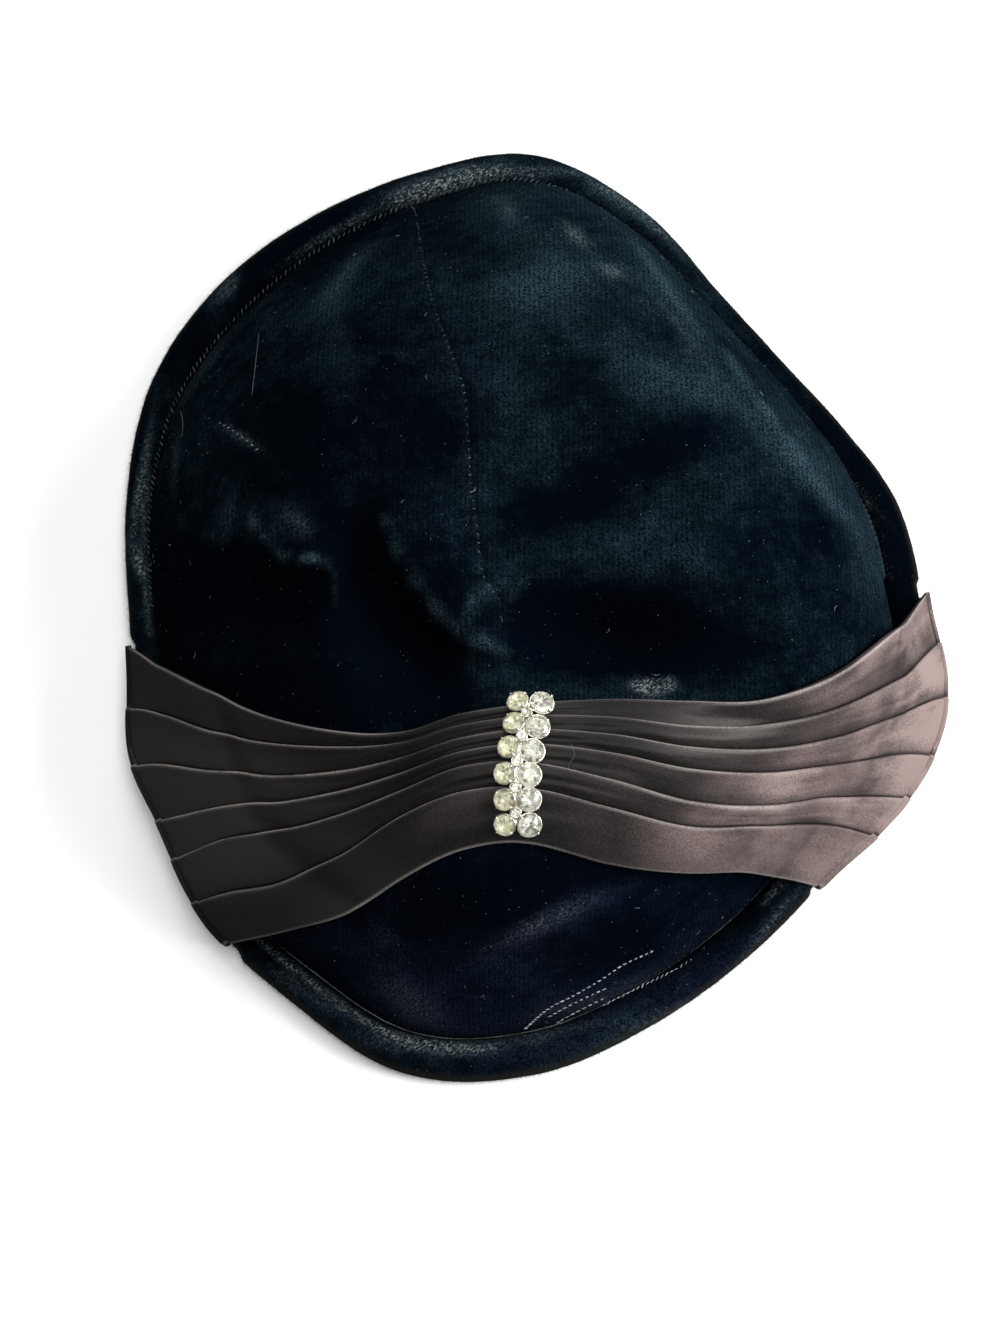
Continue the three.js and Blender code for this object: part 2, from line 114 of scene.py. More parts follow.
class PleatRow(NamedTuple):
    """Where the seven edges of the six pleats lie at one x, from back to front."""

    x: float
    edges: tuple[float, ...]


def table(kind: type, *rows: tuple) -> tuple:
    """A table whose rows are all of one kind."""
    return tuple(kind(*row) for row in rows)


RIM = table(
    RimRow,
    (0, 87.8, 9.0, 3.8, 0.66), (15, 85.8, 9.5, 3.9, 0.64), (30, 81.6, 9.5, 4.2, 0.60),
    (45, 80.4, 9.0, 4.4, 0.58), (60, 85.2, 8.5, 4.0, 0.62), (75, 97.0, 8.0, 3.4, 0.76),
    (90, 106.7, 7.5, 3.0, 0.88), (105, 105.7, 8.0, 2.8, 0.95), (120, 104.8, 9.0, 2.7, 1.0),
    (135, 103.9, 9.5, 2.7, 1.0), (150, 101.0, 8.0, 2.7, 1.0), (165, 95.3, 6.5, 2.8, 0.95),
    (180, 91.0, 6.0, 2.9, 0.90), (195, 91.2, 7.0, 3.0, 0.86), (210, 95.2, 7.5, 3.0, 0.86),
    (225, 101.5, 7.5, 3.1, 0.86), (240, 104.2, 8.0, 3.3, 0.84), (255, 108.8, 9.0, 3.5, 0.82),
    (270, 105.4, 9.5, 3.6, 0.80), (285, 98.2, 9.0, 3.6, 0.80), (300, 92.7, 8.5, 3.6, 0.80),
    (315, 89.8, 8.5, 3.6, 0.78), (330, 91.4, 8.5, 3.7, 0.74), (345, 92.8, 9.0, 3.8, 0.70),
)

HOLLOWS = table(
    Hollow,
    (2, -18, 52, 30, -2, 11), (-27, -21, 17, 9, -62, 9), (10, -23, 24, 10, -4, 11), (-62, -9, 17, 8, -6, 8),
    (25, 48, 46, 20, 35, 3), (-20, 62, 14, 36, -15, 2),
)

FOLDS = table(
    Fold,
    (-16, -11, -43, 21, -4.5, 7.0, 15, 4.5), (-50, -2.5, -30, 14, -3.5, 4.5, 9, 3.5),
    (-46, -10, -75, 9, 1.0, 3.0, 7, 3.5), (16, -10, -6, 24, -2.0, 3.0, 12, 6),
)

PLEAT_EDGES = table(
    PleatRow,
    (-92, (-10.1, -25.0, -38.0, -50.7, -60.9, -71.1, -80.0)),
    (-80, (-19.0, -29.0, -39.3, -50.4, -59.1, -69.4, -78.5)),
    (-66, (-28.8, -36.5, -44.2, -51.3, -57.5, -67.5, -77.0)),
    (-52, (-36.7, -41.5, -47.7, -52.6, -57.8, -67.3, -76.0)),
    (-38, (-41.1, -43.8, -48.4, -51.9, -56.0, -63.2, -74.3)),
    (-26, (-42.0, -43.9, -46.8, -49.6, -52.8, -57.4, -68.6)),
    (-15, (-39.0, -41.2, -43.8, -46.4, -49.2, -53.8, -64.3)),
    (-3, (-37.3, -39.6, -42.2, -44.9, -48.3, -53.0, -63.0)),
    (14, (-36.0, -39.4, -42.6, -46.0, -51.0, -56.0, -66.1)),
    (30, (-35.4, -40.1, -43.9, -47.8, -53.8, -58.1, -66.4)),
    (46, (-33.3, -37.9, -42.3, -46.5, -52.8, -55.9, -64.2)),
    (62, (-25.9, -32.6, -37.8, -42.5, -48.1, -52.8, -64.5)),
    (78, (-11.6, -22.6, -29.5, -37.4, -45.6, -53.8, -67.8)),
    (92, (5.2, -9.5, -22.8, -35.7, -44.6, -55.1, -70.7)),
)


class Arc(NamedTuple):
    """A stretch of the rim between two bearings in degrees."""

    start: float
    end: float


BAND_ARCS = (Arc(186.6, 230.6), Arc(313.4, 362.2))


class Swell(NamedTuple):
    """Where an end of the band stands off the roll: its bearing and half width in degrees, and how far."""

    bearing: float
    width: float
    stand: float


SWELLS = (Swell(202, 8, 2.9), Swell(335, 15, 2.3))


# Small rules of shape that several pieces use


def smoothstep(value: Array | float, low: float, high: float) -> Array:
    """Rises from 0 at low to 1 at high without a corner."""
    share = np.clip((np.asarray(value, float) - low) / (high - low), 0, 1)
    return share * share * (3 - 2 * share)


def smooth_between(before: Array, start: Array, end: Array, after: Array, share: Array) -> Array:
    """The curve from start to end that also heeds its two neighbours."""
    square = 2 * before - 5 * start + 4 * end - after
    cube = 3 * (start - end) + after - before
    return 0.5 * (2 * start + (end - before) * share + square * share**2 + cube * share**3)


def smooth_path(points: Array, steps: int) -> Array:
    """A smooth line through points.

    Args:
        points: the points, one a row.
        steps: how many points each stretch is cut into.

    Returns:
        The finer points, one a row.
    """
    padded = np.vstack([2 * points[0] - points[1], points, 2 * points[-1] - points[-2]])
    share = np.linspace(0, 1, steps, endpoint=False)[:, None]
    parts = [smooth_between(*padded[row : row + 4], share) for row in range(len(points) - 1)]
    return np.vstack([*parts, points[-1:]])


def soft_noise(x: Array, y: Array, size: float, seed: int) -> Array:
    """Smooth hills and dips, the same on every run.

    Args:
        x, y: places on the plan.
        size: how far the hills are apart.
        seed: which hills they are.

    Returns:
        A number from -1 to 1 for each place.
    """
    cells = 64
    lattice = np.random.default_rng(seed).uniform(-1, 1, (cells, cells))
    u, v = np.asarray(x) / size + 32.3, np.asarray(y) / size + 31.7
    column, row = np.floor(u).astype(int), np.floor(v).astype(int)
    across, up = smoothstep(u - column, 0, 1), smoothstep(v - row, 0, 1)

    def level(line: Array) -> Array:
        """The hills along one line of the lattice."""
        left, right = lattice[column % cells, line % cells], lattice[(column + 1) % cells, line % cells]
        return left * (1 - across) + right * across

    return level(row) * (1 - up) + level(row + 1) * up


def unit(vectors: Array) -> Array:
    """The vectors with length 1."""
    return vectors / np.maximum(np.linalg.norm(vectors, axis=-1, keepdims=True), 1e-12)


def bell(away: Array | float, width: Array | float) -> Array:
    """1 in the middle, falling to almost nothing two widths away."""
    return np.exp(-((away / width) ** 2))


def taper(along: Array) -> Array:
    """1 in the middle of a line, falling to 0 at both ends."""
    return np.sin(math.pi * along) ** 0.5


def bearings(count: int) -> Array:
    """Angles evenly round a circle."""
    return np.arange(count) * (2 * math.pi / count)


def on_radius(angle: Array, radius: Array, z: Array) -> Array:
    """Points at bearings round the middle of the hat."""
    return np.stack(np.broadcast_arrays(np.cos(angle) * radius, np.sin(angle) * radius, z), axis=-1)


def level_plane(level: float) -> Height:
    """A flat surface at this height."""
    return lambda x, y: np.full(np.shape(x), level)


def last_place(low: float, high: float, holds: Callable[[float], bool]) -> float:
    """Halves its way to the last place where something still holds.

    Args:
        low: a place where it holds.
        high: a place where it doesn't.
        holds: whether it holds at a place.

    Returns:
        That place.
    """
    for _ in range(HALVINGS):
        middle = (low + high) / 2
        low, high = (middle, high) if holds(middle) else (low, middle)
    return low


def line_distance(x: Array, y: Array, line: Array) -> tuple[Array, Array]:
    """How far points lie from a line on the plan.

    Args:
        x, y: places of the points.
        line: the line's points, one a row, seen from above.

    Returns:
        The distance of each point, and how far along the line its nearest place is, from 0 to 1.
    """
    best = np.full(np.shape(x), np.inf)
    along = np.zeros(np.shape(x))
    for row, (start, end) in enumerate(zip(line[:-1, :2], line[1:, :2])):
        run = end - start
        share = np.clip(((x - start[0]) * run[0] + (y - start[1]) * run[1]) / max(run @ run, 1e-9), 0, 1)
        away = np.hypot(x - start[0] - share * run[0], y - start[1] - share * run[1])
        nearer = away < best
        best = np.where(nearer, away, best)
        along = np.where(nearer, (row + share) / (len(line) - 1), along)
    return best, along


@dataclass(frozen=True)
class HatForm:
    """The shape that the crown, the roll and the band share, as rules on the plan."""

    crown_height: float = 76
    foot_height: float = 6
    foot_clearance: float = 0.8
    roll_height: float = 7
    gap: float = 0.3
    under_band: float = 1.6
    arc_fade: float = 1.4
    squeeze: float = 1

    def rim(self, column: str, angle: Array) -> Array:
        """A column of the rim's table at any bearing in radians."""
        values = np.array([getattr(row, column) for row in RIM])
        place = np.degrees(angle) % 360 / (360 / len(values))
        row = np.floor(place).astype(int)
        near = [values[(row + offset) % len(values)] for offset in (-1, 0, 1, 2)]
        return smooth_between(*near, place - row)

    def roll_inner(self, angle: Array) -> Array:
        """How far out the roll's inner side lies."""
        return self.rim("reach", angle) - self.rim("roll", angle)

    def foot_reach(self, angle: Array) -> Array:
        """How far out the crown's foot stands."""
        return self.roll_inner(angle) - self.gap

    def dome(self, x: Array, y: Array) -> Array:
        """The height of the full crown, before it sank."""
        angle = np.arctan2(y, x)
        share = np.minimum(np.hypot(x, y) / self.foot_reach(angle), 1)
        rise = np.maximum(1 - share ** self.rim("fullness", angle), 0) ** self.rim("steepness", angle)
        return self.foot_height + (self.crown_height - self.foot_height) * rise

    def height(self, x: Array, y: Array) -> Array:
        """The height of the crown's outside, with its hollows and standing folds.

        Args:
            x, y: places on the plan.

        Returns:
            The height at each place.
        """
        total = self.dome(x, y)
        for hollow in HOLLOWS:
            along, across = self._turned(hollow, x, y)
            away = (along / hollow.length) ** 2 + (across / hollow.width) ** 2
            total = total - hollow.depth * np.exp(-away)
        for fold in FOLDS:
            along, across = self._turned(fold, x, y)
            share = along / fold.length
            beside = across - fold.bend * (1 - share**2)
            fall = np.where(beside > 0, fold.high, fold.low)
            total = total + fold.height * np.exp(-(share**4)) * bell(beside, fall)
        return total

    @staticmethod
    def _turned(shape: Hollow | Fold, x: Array, y: Array) -> tuple[Array, Array]:
        """Distances along and across a hollow or fold."""
        turn = math.radians(shape.turn)
        along = (x - shape.x) * math.cos(turn) + (y - shape.y) * math.sin(turn)
        across = (y - shape.y) * math.cos(turn) - (x - shape.x) * math.sin(turn)
        return along, across

    def normal(self, x: Array, y: Array) -> Array:
        """The crown's outward direction."""
        slope_x = self.height(x + 0.5, y) - self.height(x - 0.5, y)
        slope_y = self.height(x, y + 0.5) - self.height(x, y - 0.5)
        return unit(np.stack([-slope_x, -slope_y, np.ones_like(slope_x)], axis=-1))

    def above(self, x: Array, y: Array, distance: Array | float) -> Array:
        """Points at a distance over the crown's outside."""
        x, y = np.broadcast_arrays(np.asarray(x, float), np.asarray(y, float))
        points = np.stack([x, y, self.height(x, y)], axis=-1)
        return points + self.normal(x, y) * np.asarray(distance)[..., None]

    def covered(self, angle: Array) -> Array:
        """How far a bearing lies inside the arcs that the band covers, from 0 to 1."""
        bearing = np.degrees(angle) % 360
        best = np.zeros_like(bearing)
        for arc in BAND_ARCS:
            turned = np.where(bearing < arc.start - 180, bearing + 360, bearing)
            enter = smoothstep(turned, arc.start - self.arc_fade, arc.start)
            leave = smoothstep(turned, arc.end, arc.end + self.arc_fade)
            best = np.maximum(best, enter * (1 - leave))
        return best


@dataclass(frozen=True)
class PhotoView:
    """The photograph's camera, which also carries places in the picture onto the hat."""

    elevation: float = 78
    distance: float = 585
    focal: float = 2600
    width: float = 1000
    tall: float = 1330
    sensor: float = 36
    highest: float = 84
    level_step: float = 0.2
    aim: tuple[float, float, float] = (-7.4, -14.0, 0.0)

    @property
    def ahead(self) -> Array:
        """The direction that the camera looks in."""
        tilt = math.radians(self.elevation)
        return np.array([0, math.cos(tilt), -math.sin(tilt)])

    @property
    def eye(self) -> Array:
        """Where the camera is."""
        return np.array(self.aim) - self.ahead * self.distance

    def onto(self, places: Pixels, height: Height) -> Array:
        """Carries pixels onto a surface over the plan.

        Args:
            places: pixels of the photograph.
            height: the surface's height at x and y.

        Returns:
            One point a row, where each line of sight first meets the surface.
        """
        pixels = np.array(places, float)
        right = np.array([1.0, 0, 0])
        above = np.cross(right, self.ahead)
        across = (pixels[:, 0] - self.width / 2)[:, None] / self.focal
        down = (pixels[:, 1] - self.tall / 2)[:, None] / self.focal
        levels = np.arange(self.highest, -0.01, -self.level_step)
        found = []
        for ray in self.ahead + across * right - down * above:
            points = self.eye + ray * ((levels - self.eye[2]) / ray[2])[:, None]
            hit = levels <= height(points[:, 0], points[:, 1])
            found.append(points[np.argmax(hit)] if hit.any() else points[-1])
        return np.array(found)

    def make_camera(self) -> None:
        """Places Blender's camera where the photograph was taken from."""
        data = bpy.data.cameras.new("photo_camera")
        data.sensor_width = self.sensor
        data.lens = self.sensor * self.focal / self.tall
        data.clip_start = 0.05
        camera = added("photo_camera", data)
        camera.location = Vector(self.eye) * METRES
        camera.rotation_euler = (math.radians(90 - self.elevation), 0, 0)
        bpy.context.scene.camera = camera


def added(name: str, data: bpy.types.ID) -> Piece:
    """A new object in the scene, of this data."""
    made = bpy.data.objects.new(name, data)
    bpy.context.scene.collection.objects.link(made)
    return made


def add_node(tree: bpy.types.NodeTree, kind: str, settings: Values, values: Values) -> bpy.types.Node:
    """Adds a node to a material's tree or to a Geometry Nodes tree.

    Args:
        tree: the tree.
        kind: the node's type.
        settings: the node's own settings, which are made first.
        values: a value, or an output to link, for each named or numbered socket.

    Returns:
        The node.
    """
    node = tree.nodes.new(kind)
    for name, value in (settings or {}).items():
        setattr(node, name, value)
    for name, value in (values or {}).items():
        if isinstance(value, Socket):
            tree.links.new(value, node.inputs[name])
        else:
            node.inputs[name].default_value = value
    return node


# Shader trees written as Python sums


def operator(operation: str, turned: bool = False) -> Callable[[Wire, Wire | float], Wire]:
    """Makes the method for one of Python's operators.

    Args:
        operation: what the Math node does.
        turned: whether it is the reflected form, where the other value comes first.

    Returns:
        The method, which adds a Math node on its two values.
    """

    def method(self: Wire, other: Wire | float) -> Wire:
        """The Math node on both values."""
        return self.maths(operation, *((other, self) if turned else (self, other)))

    return method


class Wire:
    """An output of a shader node that takes part in Python sums."""

    __add__, __radd__ = operator("ADD"), operator("ADD", turned=True)
    __sub__, __rsub__ = operator("SUBTRACT"), operator("SUBTRACT", turned=True)
    __mul__, __rmul__ = operator("MULTIPLY"), operator("MULTIPLY", turned=True)

    def __init__(self, board: ShaderBoard, socket: Socket) -> None:
        """Keeps the tree and the socket."""
        self.board = board
        self.socket = socket

    def maths(self, operation: str, *values: Wire | float) -> Wire:
        """One Math node on these values."""
        return self.board.add("ShaderNodeMath", {"operation": operation}, dict(enumerate(values)))

    def waves(self) -> Wire:
        """The sine of self, moved to lie between 0 and 1."""
        return self.maths("SINE", self) * 0.5 + 0.5

    def between(self, low: float, high: float) -> Wire:
        """0 at low and 1 at high, smooth in between."""
        values = {"Value": self, "From Min": low, "From Max": high}
        return self.board.add("ShaderNodeMapRange", {"interpolation_type": "SMOOTHSTEP"}, values)


class ShaderBoard:
    """A material's tree, built one node a call."""

    def __init__(self, name: str) -> None:
        """Starts an empty material."""
        self.material = bpy.data.materials.new(name)
        self.material.use_nodes = True
        self.tree = self.material.node_tree
        self.tree.nodes.clear()

    def add(self, kind: str, settings: Values = None, values: Values = None, out: int | str = 0) -> Wire:
        """Adds a node as add_node does, with Wires among its values, and gives one of its outputs."""
        plain = {key: getattr(value, "socket", value) for key, value in (values or {}).items()}
        return Wire(self, add_node(self.tree, kind, settings, plain).outputs[out])

    def places(self, scale: tuple[float, float, float] = (1, 1, 1), turn: float = 0) -> Wire:
        """Object coordinates in millimetres, turned about z and then stretched by scale."""
        values = {"Scale": tuple(METRES / size for size in scale), "Rotation": (0, 0, turn)}
        values["Vector"] = self.add("ShaderNodeTexCoord", out="Object")
        return self.add("ShaderNodeMapping", {"vector_type": "TEXTURE"}, values)

    def cloth(self, scale: tuple[float, float, float]) -> Wire:
        """The piece's own UV map, in millimetres along and across the cloth, stretched by scale."""
        uv = self.add("ShaderNodeUVMap", {"uv_map": "cloth"})
        return self.add("ShaderNodeMapping", {}, {"Vector": uv, "Scale": scale})

    def noise(self, places: Wire, scale: float, detail: float = 2.0, rough: float = 0.5) -> Wire:
        """Noise from 0 to 1 with features about 1/scale apart."""
        values = {"Vector": places, "Scale": scale, "Detail": detail, "Roughness": rough}
        return self.add("ShaderNodeTexNoise", {}, values)

    def painted(self, name: str) -> Wire:
        """A number that the piece keeps for each vertex."""
        return self.add("ShaderNodeAttribute", {"attribute_name": name}, out="Fac")

    def mix(self, share: Wire, first: Wire | Colour, second: Wire | Colour) -> Wire:
        """The colour between two colours."""
        first = first if isinstance(first, Wire) else (*first, 1)
        second = second if isinstance(second, Wire) else (*second, 1)
        return self.add("ShaderNodeMix", {"data_type": "RGBA"}, {0: share, 6: first, 7: second}, out=2)

    def bump(self, height: Wire, depth: float) -> Wire:
        """A normal bent by height, where 1 stands for depth in millimetres."""
        return self.add("ShaderNodeBump", {}, {"Height": height, "Distance": depth * METRES, "Strength": 1.0})

    def principled(self, **values: Wire | float | tuple) -> Wire:
        """The surface shader, its sockets named with _ for spaces."""
        return self.add("ShaderNodeBsdfPrincipled", {}, {k.replace("_", " "): v for k, v in values.items()})

    def done(self, shader: Wire) -> Finish:
        """Ends the tree with this shader."""
        add_node(self.tree, "ShaderNodeOutputMaterial", {}, {"Surface": shader.socket})
        return self.material


def dimmed(colour: Colour, share: float) -> Colour:
    """The colour with this share of its light."""
    return tuple(share * value for value in colour)


@dataclass(frozen=True)
class Velvet:
    """Silk-pile velvet: near black where the pile stands, paler where it lies over or is crushed, with
    painted sheen and painted shade.
    """

    name: str
    deep: Colour = (0.0004, 0.0011, 0.0024)
    teal: Colour = (0.0145, 0.0300, 0.0375)
    navy: Colour = (0.0082, 0.0120, 0.0255)
    olive: Colour = (0.0200, 0.0190, 0.0120)
    crushed: Colour = (0.175, 0.190, 0.185)
    rib_pitch: float = 1.05
    ribbing: float = 0.055
    sheen: float = 0.002
    sheen_tint: Colour = (0.32, 0.60, 0.75)

    def material(self) -> Finish:
        """Builds the velvet."""
        board = ShaderBoard(self.name)
        places = board.places()
        mottle = board.noise(places, 0.20, 4, 0.62)
        grain = board.noise(places, 2.2, 3, 0.75)
        sway = board.noise(places, 0.03, 1)
        across = board.add("ShaderNodeSeparateXYZ", {}, {"Vector": places})
        ribs = (across * (2 * math.pi / self.rib_pitch) + sway * 14).waves()
        strokes = board.noise(board.places((0.9, 0.16, 0.5), 0.5), 1.0, 3, 0.6)
        marks = board.noise(board.places((0.14, 0.8, 0.5), 0.2), 1.0, 3, 0.6)
        brushed = (strokes * mottle + marks * (1 - mottle)).between(0.42, 0.68)
        # the painted attribute read here holds painted shade and painted sheen as well as the pile's own
        # mottling
        lean_and_light = (mottle * 0.75 + brushed * 0.14 + board.painted("nap") - 0.44).between(-0.05, 1.25)
        speck = (grain * (1 - self.ribbing) + ribs * self.ribbing).between(0.36, 0.68)
        hue = board.mix((board.painted("navy") + sway - 0.5).between(0.2, 0.8), self.teal, self.navy)
        pile = board.mix(lean_and_light * (speck * 1.45 + 0.03), self.deep, hue)
        edge = board.mix(board.painted("faded"), pile, self.olive)
        flecks = board.noise(board.places((1.1, 2.2, 1.6), 0.7), 1.0, 4, 0.8).between(0.46, 0.66)
        specks = board.noise(places, 1.6, 3, 0.7).between(0.60, 0.74)
        dust = specks * (brushed * 0.16 + 0.03) * board.painted("pile")
        dots = board.noise(places, 0.75, 2).between(0.50, 0.62)
        seam = (1 - board.painted("seam_gap").between(0.2, 0.75)) * dots
        # painted sheen: a pale frosting where the pile is lightest
        frost_and_sheen = lean_and_light * lean_and_light * speck * 0.085
        # crushed pile, seam dots, dust and the painted frosting
        worn = (board.painted("crush") * flecks + seam * 0.09 + dust + frost_and_sheen).between(0.0, 1.0)
        relief = grain * 0.7 + ribs * 0.08 - (1 - board.painted("seam_gap").between(0.0, 1.1)) * 0.6
        shader = board.principled(
            Base_Color=board.mix(worn, edge, self.crushed), Roughness=0.92 - worn * 0.4,
            Normal=board.bump(relief, 0.2), Specular_IOR_Level=0.0,
            Sheen_Weight=self.sheen, Sheen_Roughness=0.35, Sheen_Tint=(*self.sheen_tint, 1),
        )
        return board.done(shader)


@dataclass(frozen=True)
class Satin:
    """Dark satin with a painted brown-mauve sheen along its pleats, painted shade, and painted highlights on
    the fold edges.
    """

    name: str
    shade: Colour = (0.0025, 0.0028, 0.0030)
    tone: Colour = (0.0088, 0.0082, 0.0080)
    # painted sheen: the pale mauve that the pleats get on the right
    rubbed: Colour = (0.174, 0.130, 0.124)
    # painted highlight on each pleat's folded edge
    lip: Colour = (0.26, 0.235, 0.225)
    gleam: Colour = (0.36, 0.32, 0.31)
    gloss: float = 0.04

    def material(self) -> Finish:
        """Builds the satin."""
        board = ShaderBoard(self.name)
        streaks = board.noise(board.cloth((0.05, 0.35, 1)), 1.0, 3, 0.55)
        threads = board.noise(board.cloth((0.9, 6.5, 1)), 1.0, 1, 0.5)
        weave = board.noise(board.places(), 2.3, 2, 0.8)
        haze = board.noise(board.places(), 0.07, 2)
        # hollow is painted shade: it darkens the cloth here, and below it also the edge highlight and the
        # gloss
        tone = (streaks * 0.3 + haze * 0.3 + weave * 1.2 - board.painted("hollow") * 0.4).between(0.5, 1.2)
        grain = weave.between(0.3, 0.7) * 0.8 + 0.6
        # painted sheen, strongest on the right, broken up by streaks and haze
        rubbed = board.painted("rubbed") * (haze * 0.9 + streaks * 0.35).between(0.25, 0.85) * grain
        cloth = board.mix(rubbed, board.mix(tone, self.shade, self.tone), self.rubbed)
        # the share that lies outside the painted shade
        unshaded = 1 - board.painted("hollow")
        # painted highlight on the fold edges, none under painted shade
        lip = board.painted("lip") * unshaded * (streaks * 0.8 + weave * 0.8).between(0.35, 1.0)
        relief = board.bump(threads * 0.3 + streaks * 0.5 + weave * 0.6, 0.08)
        rough = 0.33 + weave * 0.12 + streaks * 0.08
        colour = board.mix(lip, cloth, self.lip)
        dull = board.principled(Base_Color=colour, Roughness=0.8, Normal=relief, Specular_IOR_Level=0.0)
        gloss = board.principled(Base_Color=(*self.gleam, 1), Metallic=1.0, Roughness=rough, Normal=relief)
        return board.done(board.add("ShaderNodeMixShader", {}, {0: self.gloss * unshaded, 1: dull, 2: gloss}))


@dataclass(frozen=True)
class Plating:
    """Dulled white plating of the clasp, tarnished darker in patches."""

    name: str
    bright: Colour = (0.78, 0.75, 0.66)
    dull: Colour = (0.30, 0.27, 0.20)

    def material(self) -> Finish:
        """Builds the plating."""
        board = ShaderBoard(self.name)
        tarnish = board.noise(board.places(), 1.1, 3, 0.6).between(0.42, 0.72)
        scratches = board.noise(board.places((5, 1.5, 5)), 1.0, 2, 0.7)
        shader = board.principled(
            Base_Color=board.mix(tarnish, self.bright, self.dull), Metallic=1.0,
            Roughness=0.18 + tarnish * 0.28 + scratches * 0.06, Normal=board.bump(scratches, 0.02),
        )
        return board.done(shader)


@dataclass(frozen=True)
class Paste:
    """Clear paste glass, a little yellowed with age."""

    name: str
    tint: Colour = (0.99, 0.99, 0.95)

    def material(self) -> Finish:
        """Builds the glass."""
        board = ShaderBoard(self.name)
        smear = board.noise(board.places(), 0.8, 3, 0.6).between(0.45, 0.8)
        shader = board.principled(
            Base_Color=board.mix(smear, self.tint, dimmed(self.tint, 0.9)), Transmission_Weight=1.0,
            Roughness=0.01 + smear * 0.05, IOR=1.58,
        )
        return board.done(shader)


@dataclass(frozen=True)
class Foil:
    """The stones' mirror backing, worn and yellow in patches, with a few facets painted dark as a painted
    reflection.
    """

    name: str
    bright: Colour = (0.98, 0.98, 0.90)
    aged: Colour = (0.62, 0.57, 0.36)
    dark: Colour = (0.16, 0.16, 0.13)
    age: float = 0.5
    mirror: float = 0.5

    def material(self) -> Finish:
        """Builds the foil."""
        board = ShaderBoard(self.name)
        patches = board.noise(board.places(), 0.9, 3, 0.65)
        wear = patches.between(0.62 - 0.2 * self.age, 0.95 - 0.25 * self.age)
        shader = board.principled(
            # some facets painted dark, standing for the dark reflections of cut facets
            Base_Color=board.mix(board.painted("facet"), board.mix(wear, self.bright, self.aged), self.dark),
            Metallic=self.mirror, Roughness=0.10 + wear * 0.25,
        )
        return board.done(shader)


@dataclass(frozen=True)
class Thread:
    """Plain thread or fluff with a slight change of shade."""

    name: str
    shade: Colour
    light: Colour
    shine: float = 0.4

    def material(self) -> Finish:
        """Builds the thread."""
        board = ShaderBoard(self.name)
        change = board.noise(board.places(), 0.7, 2).between(0.35, 0.65)
        twist = board.noise(board.places((4, 4, 4)), 1.0, 1)
        shader = board.principled(
            Base_Color=board.mix(change, self.shade, self.light), Roughness=0.62 + change * 0.2,
            Normal=board.bump(twist, 0.06), Specular_IOR_Level=self.shine,
        )
        return board.done(shader)


# Meshes


@dataclass
class Cloth:
    """A mesh in the making: points in millimetres, faces and what the finish reads at each point."""

    name: str
    points: list[Array] = field(default_factory=list)
    faces: list[Array] = field(default_factory=list)
    painted: dict[str, Array] = field(default_factory=dict)
    count: int = 0

    def row(self, points: Array) -> Array:
        """Adds points and returns their numbers."""
        points = np.atleast_2d(points)
        self.points.append(points)
        self.count += len(points)
        return np.arange(self.count - len(points), self.count)

    def face(self, faces: Array, turned: bool = False) -> None:
        """Adds faces, turned over if asked."""
        faces = np.atleast_2d(faces)
        self.faces.append(faces[:, ::-1] if turned else faces)

    def fan(self, middle: int, ring: Array, turned: bool = False) -> None:
        """Closes a ring with three-sided faces to its middle."""
        self.face(np.stack([np.full(len(ring), middle), ring, np.roll(ring, -1)], axis=1), turned)

    def strips(self, rows: Sequence[Array], turned: bool = False, closed: bool = True) -> None:
        """Joins each row of points to the next; the faces look up where that one lies further out."""
        for first, second in zip(rows, rows[1:]):
            faces = np.stack([first, second, np.roll(second, -1), np.roll(first, -1)], axis=1)
            self.face(faces if closed else faces[:-1], turned)

    def paint(self, **values: Array | float) -> None:
        """Keeps what the finish reads, one number for all points or one for each."""
        self.painted.update({name: np.broadcast_to(value, self.count) for name, value in values.items()})

    def whole(self) -> Array:
        """All points, one a row."""
        return np.vstack(self.points)

    def made(self, material: Finish) -> Piece:
        """Makes the Blender object.

        Args:
            material: its finish.

        Returns:
            The object, at the origin, with its place in its mesh.
        """
        mesh = bpy.data.meshes.new(self.name)
        faces = [face for group in self.faces for face in group.tolist()]
        mesh.from_pydata((self.whole() * METRES).tolist(), [], faces)
        for name, values in self.painted.items():
            keep_numbers(mesh, name, values)
        mesh.polygons.foreach_set("use_smooth", np.ones(len(mesh.polygons), bool))
        mesh.materials.append(material)
        mesh.update()
        return added(self.name, mesh)


def keep_numbers(mesh: bpy.types.Mesh, name: str, values: Array, domain: str = "POINT") -> None:
    """Keeps a number or a vector for each POINT or FACE of a mesh, for trees and finishes to read."""
    kind, slot = ("FLOAT_VECTOR", "vector") if values.ndim == 2 else ("FLOAT", "value")
    attribute = mesh.attributes.new(name, kind, domain)
    attribute.data.foreach_set(slot, np.ascontiguousarray(values, np.float32).ravel())


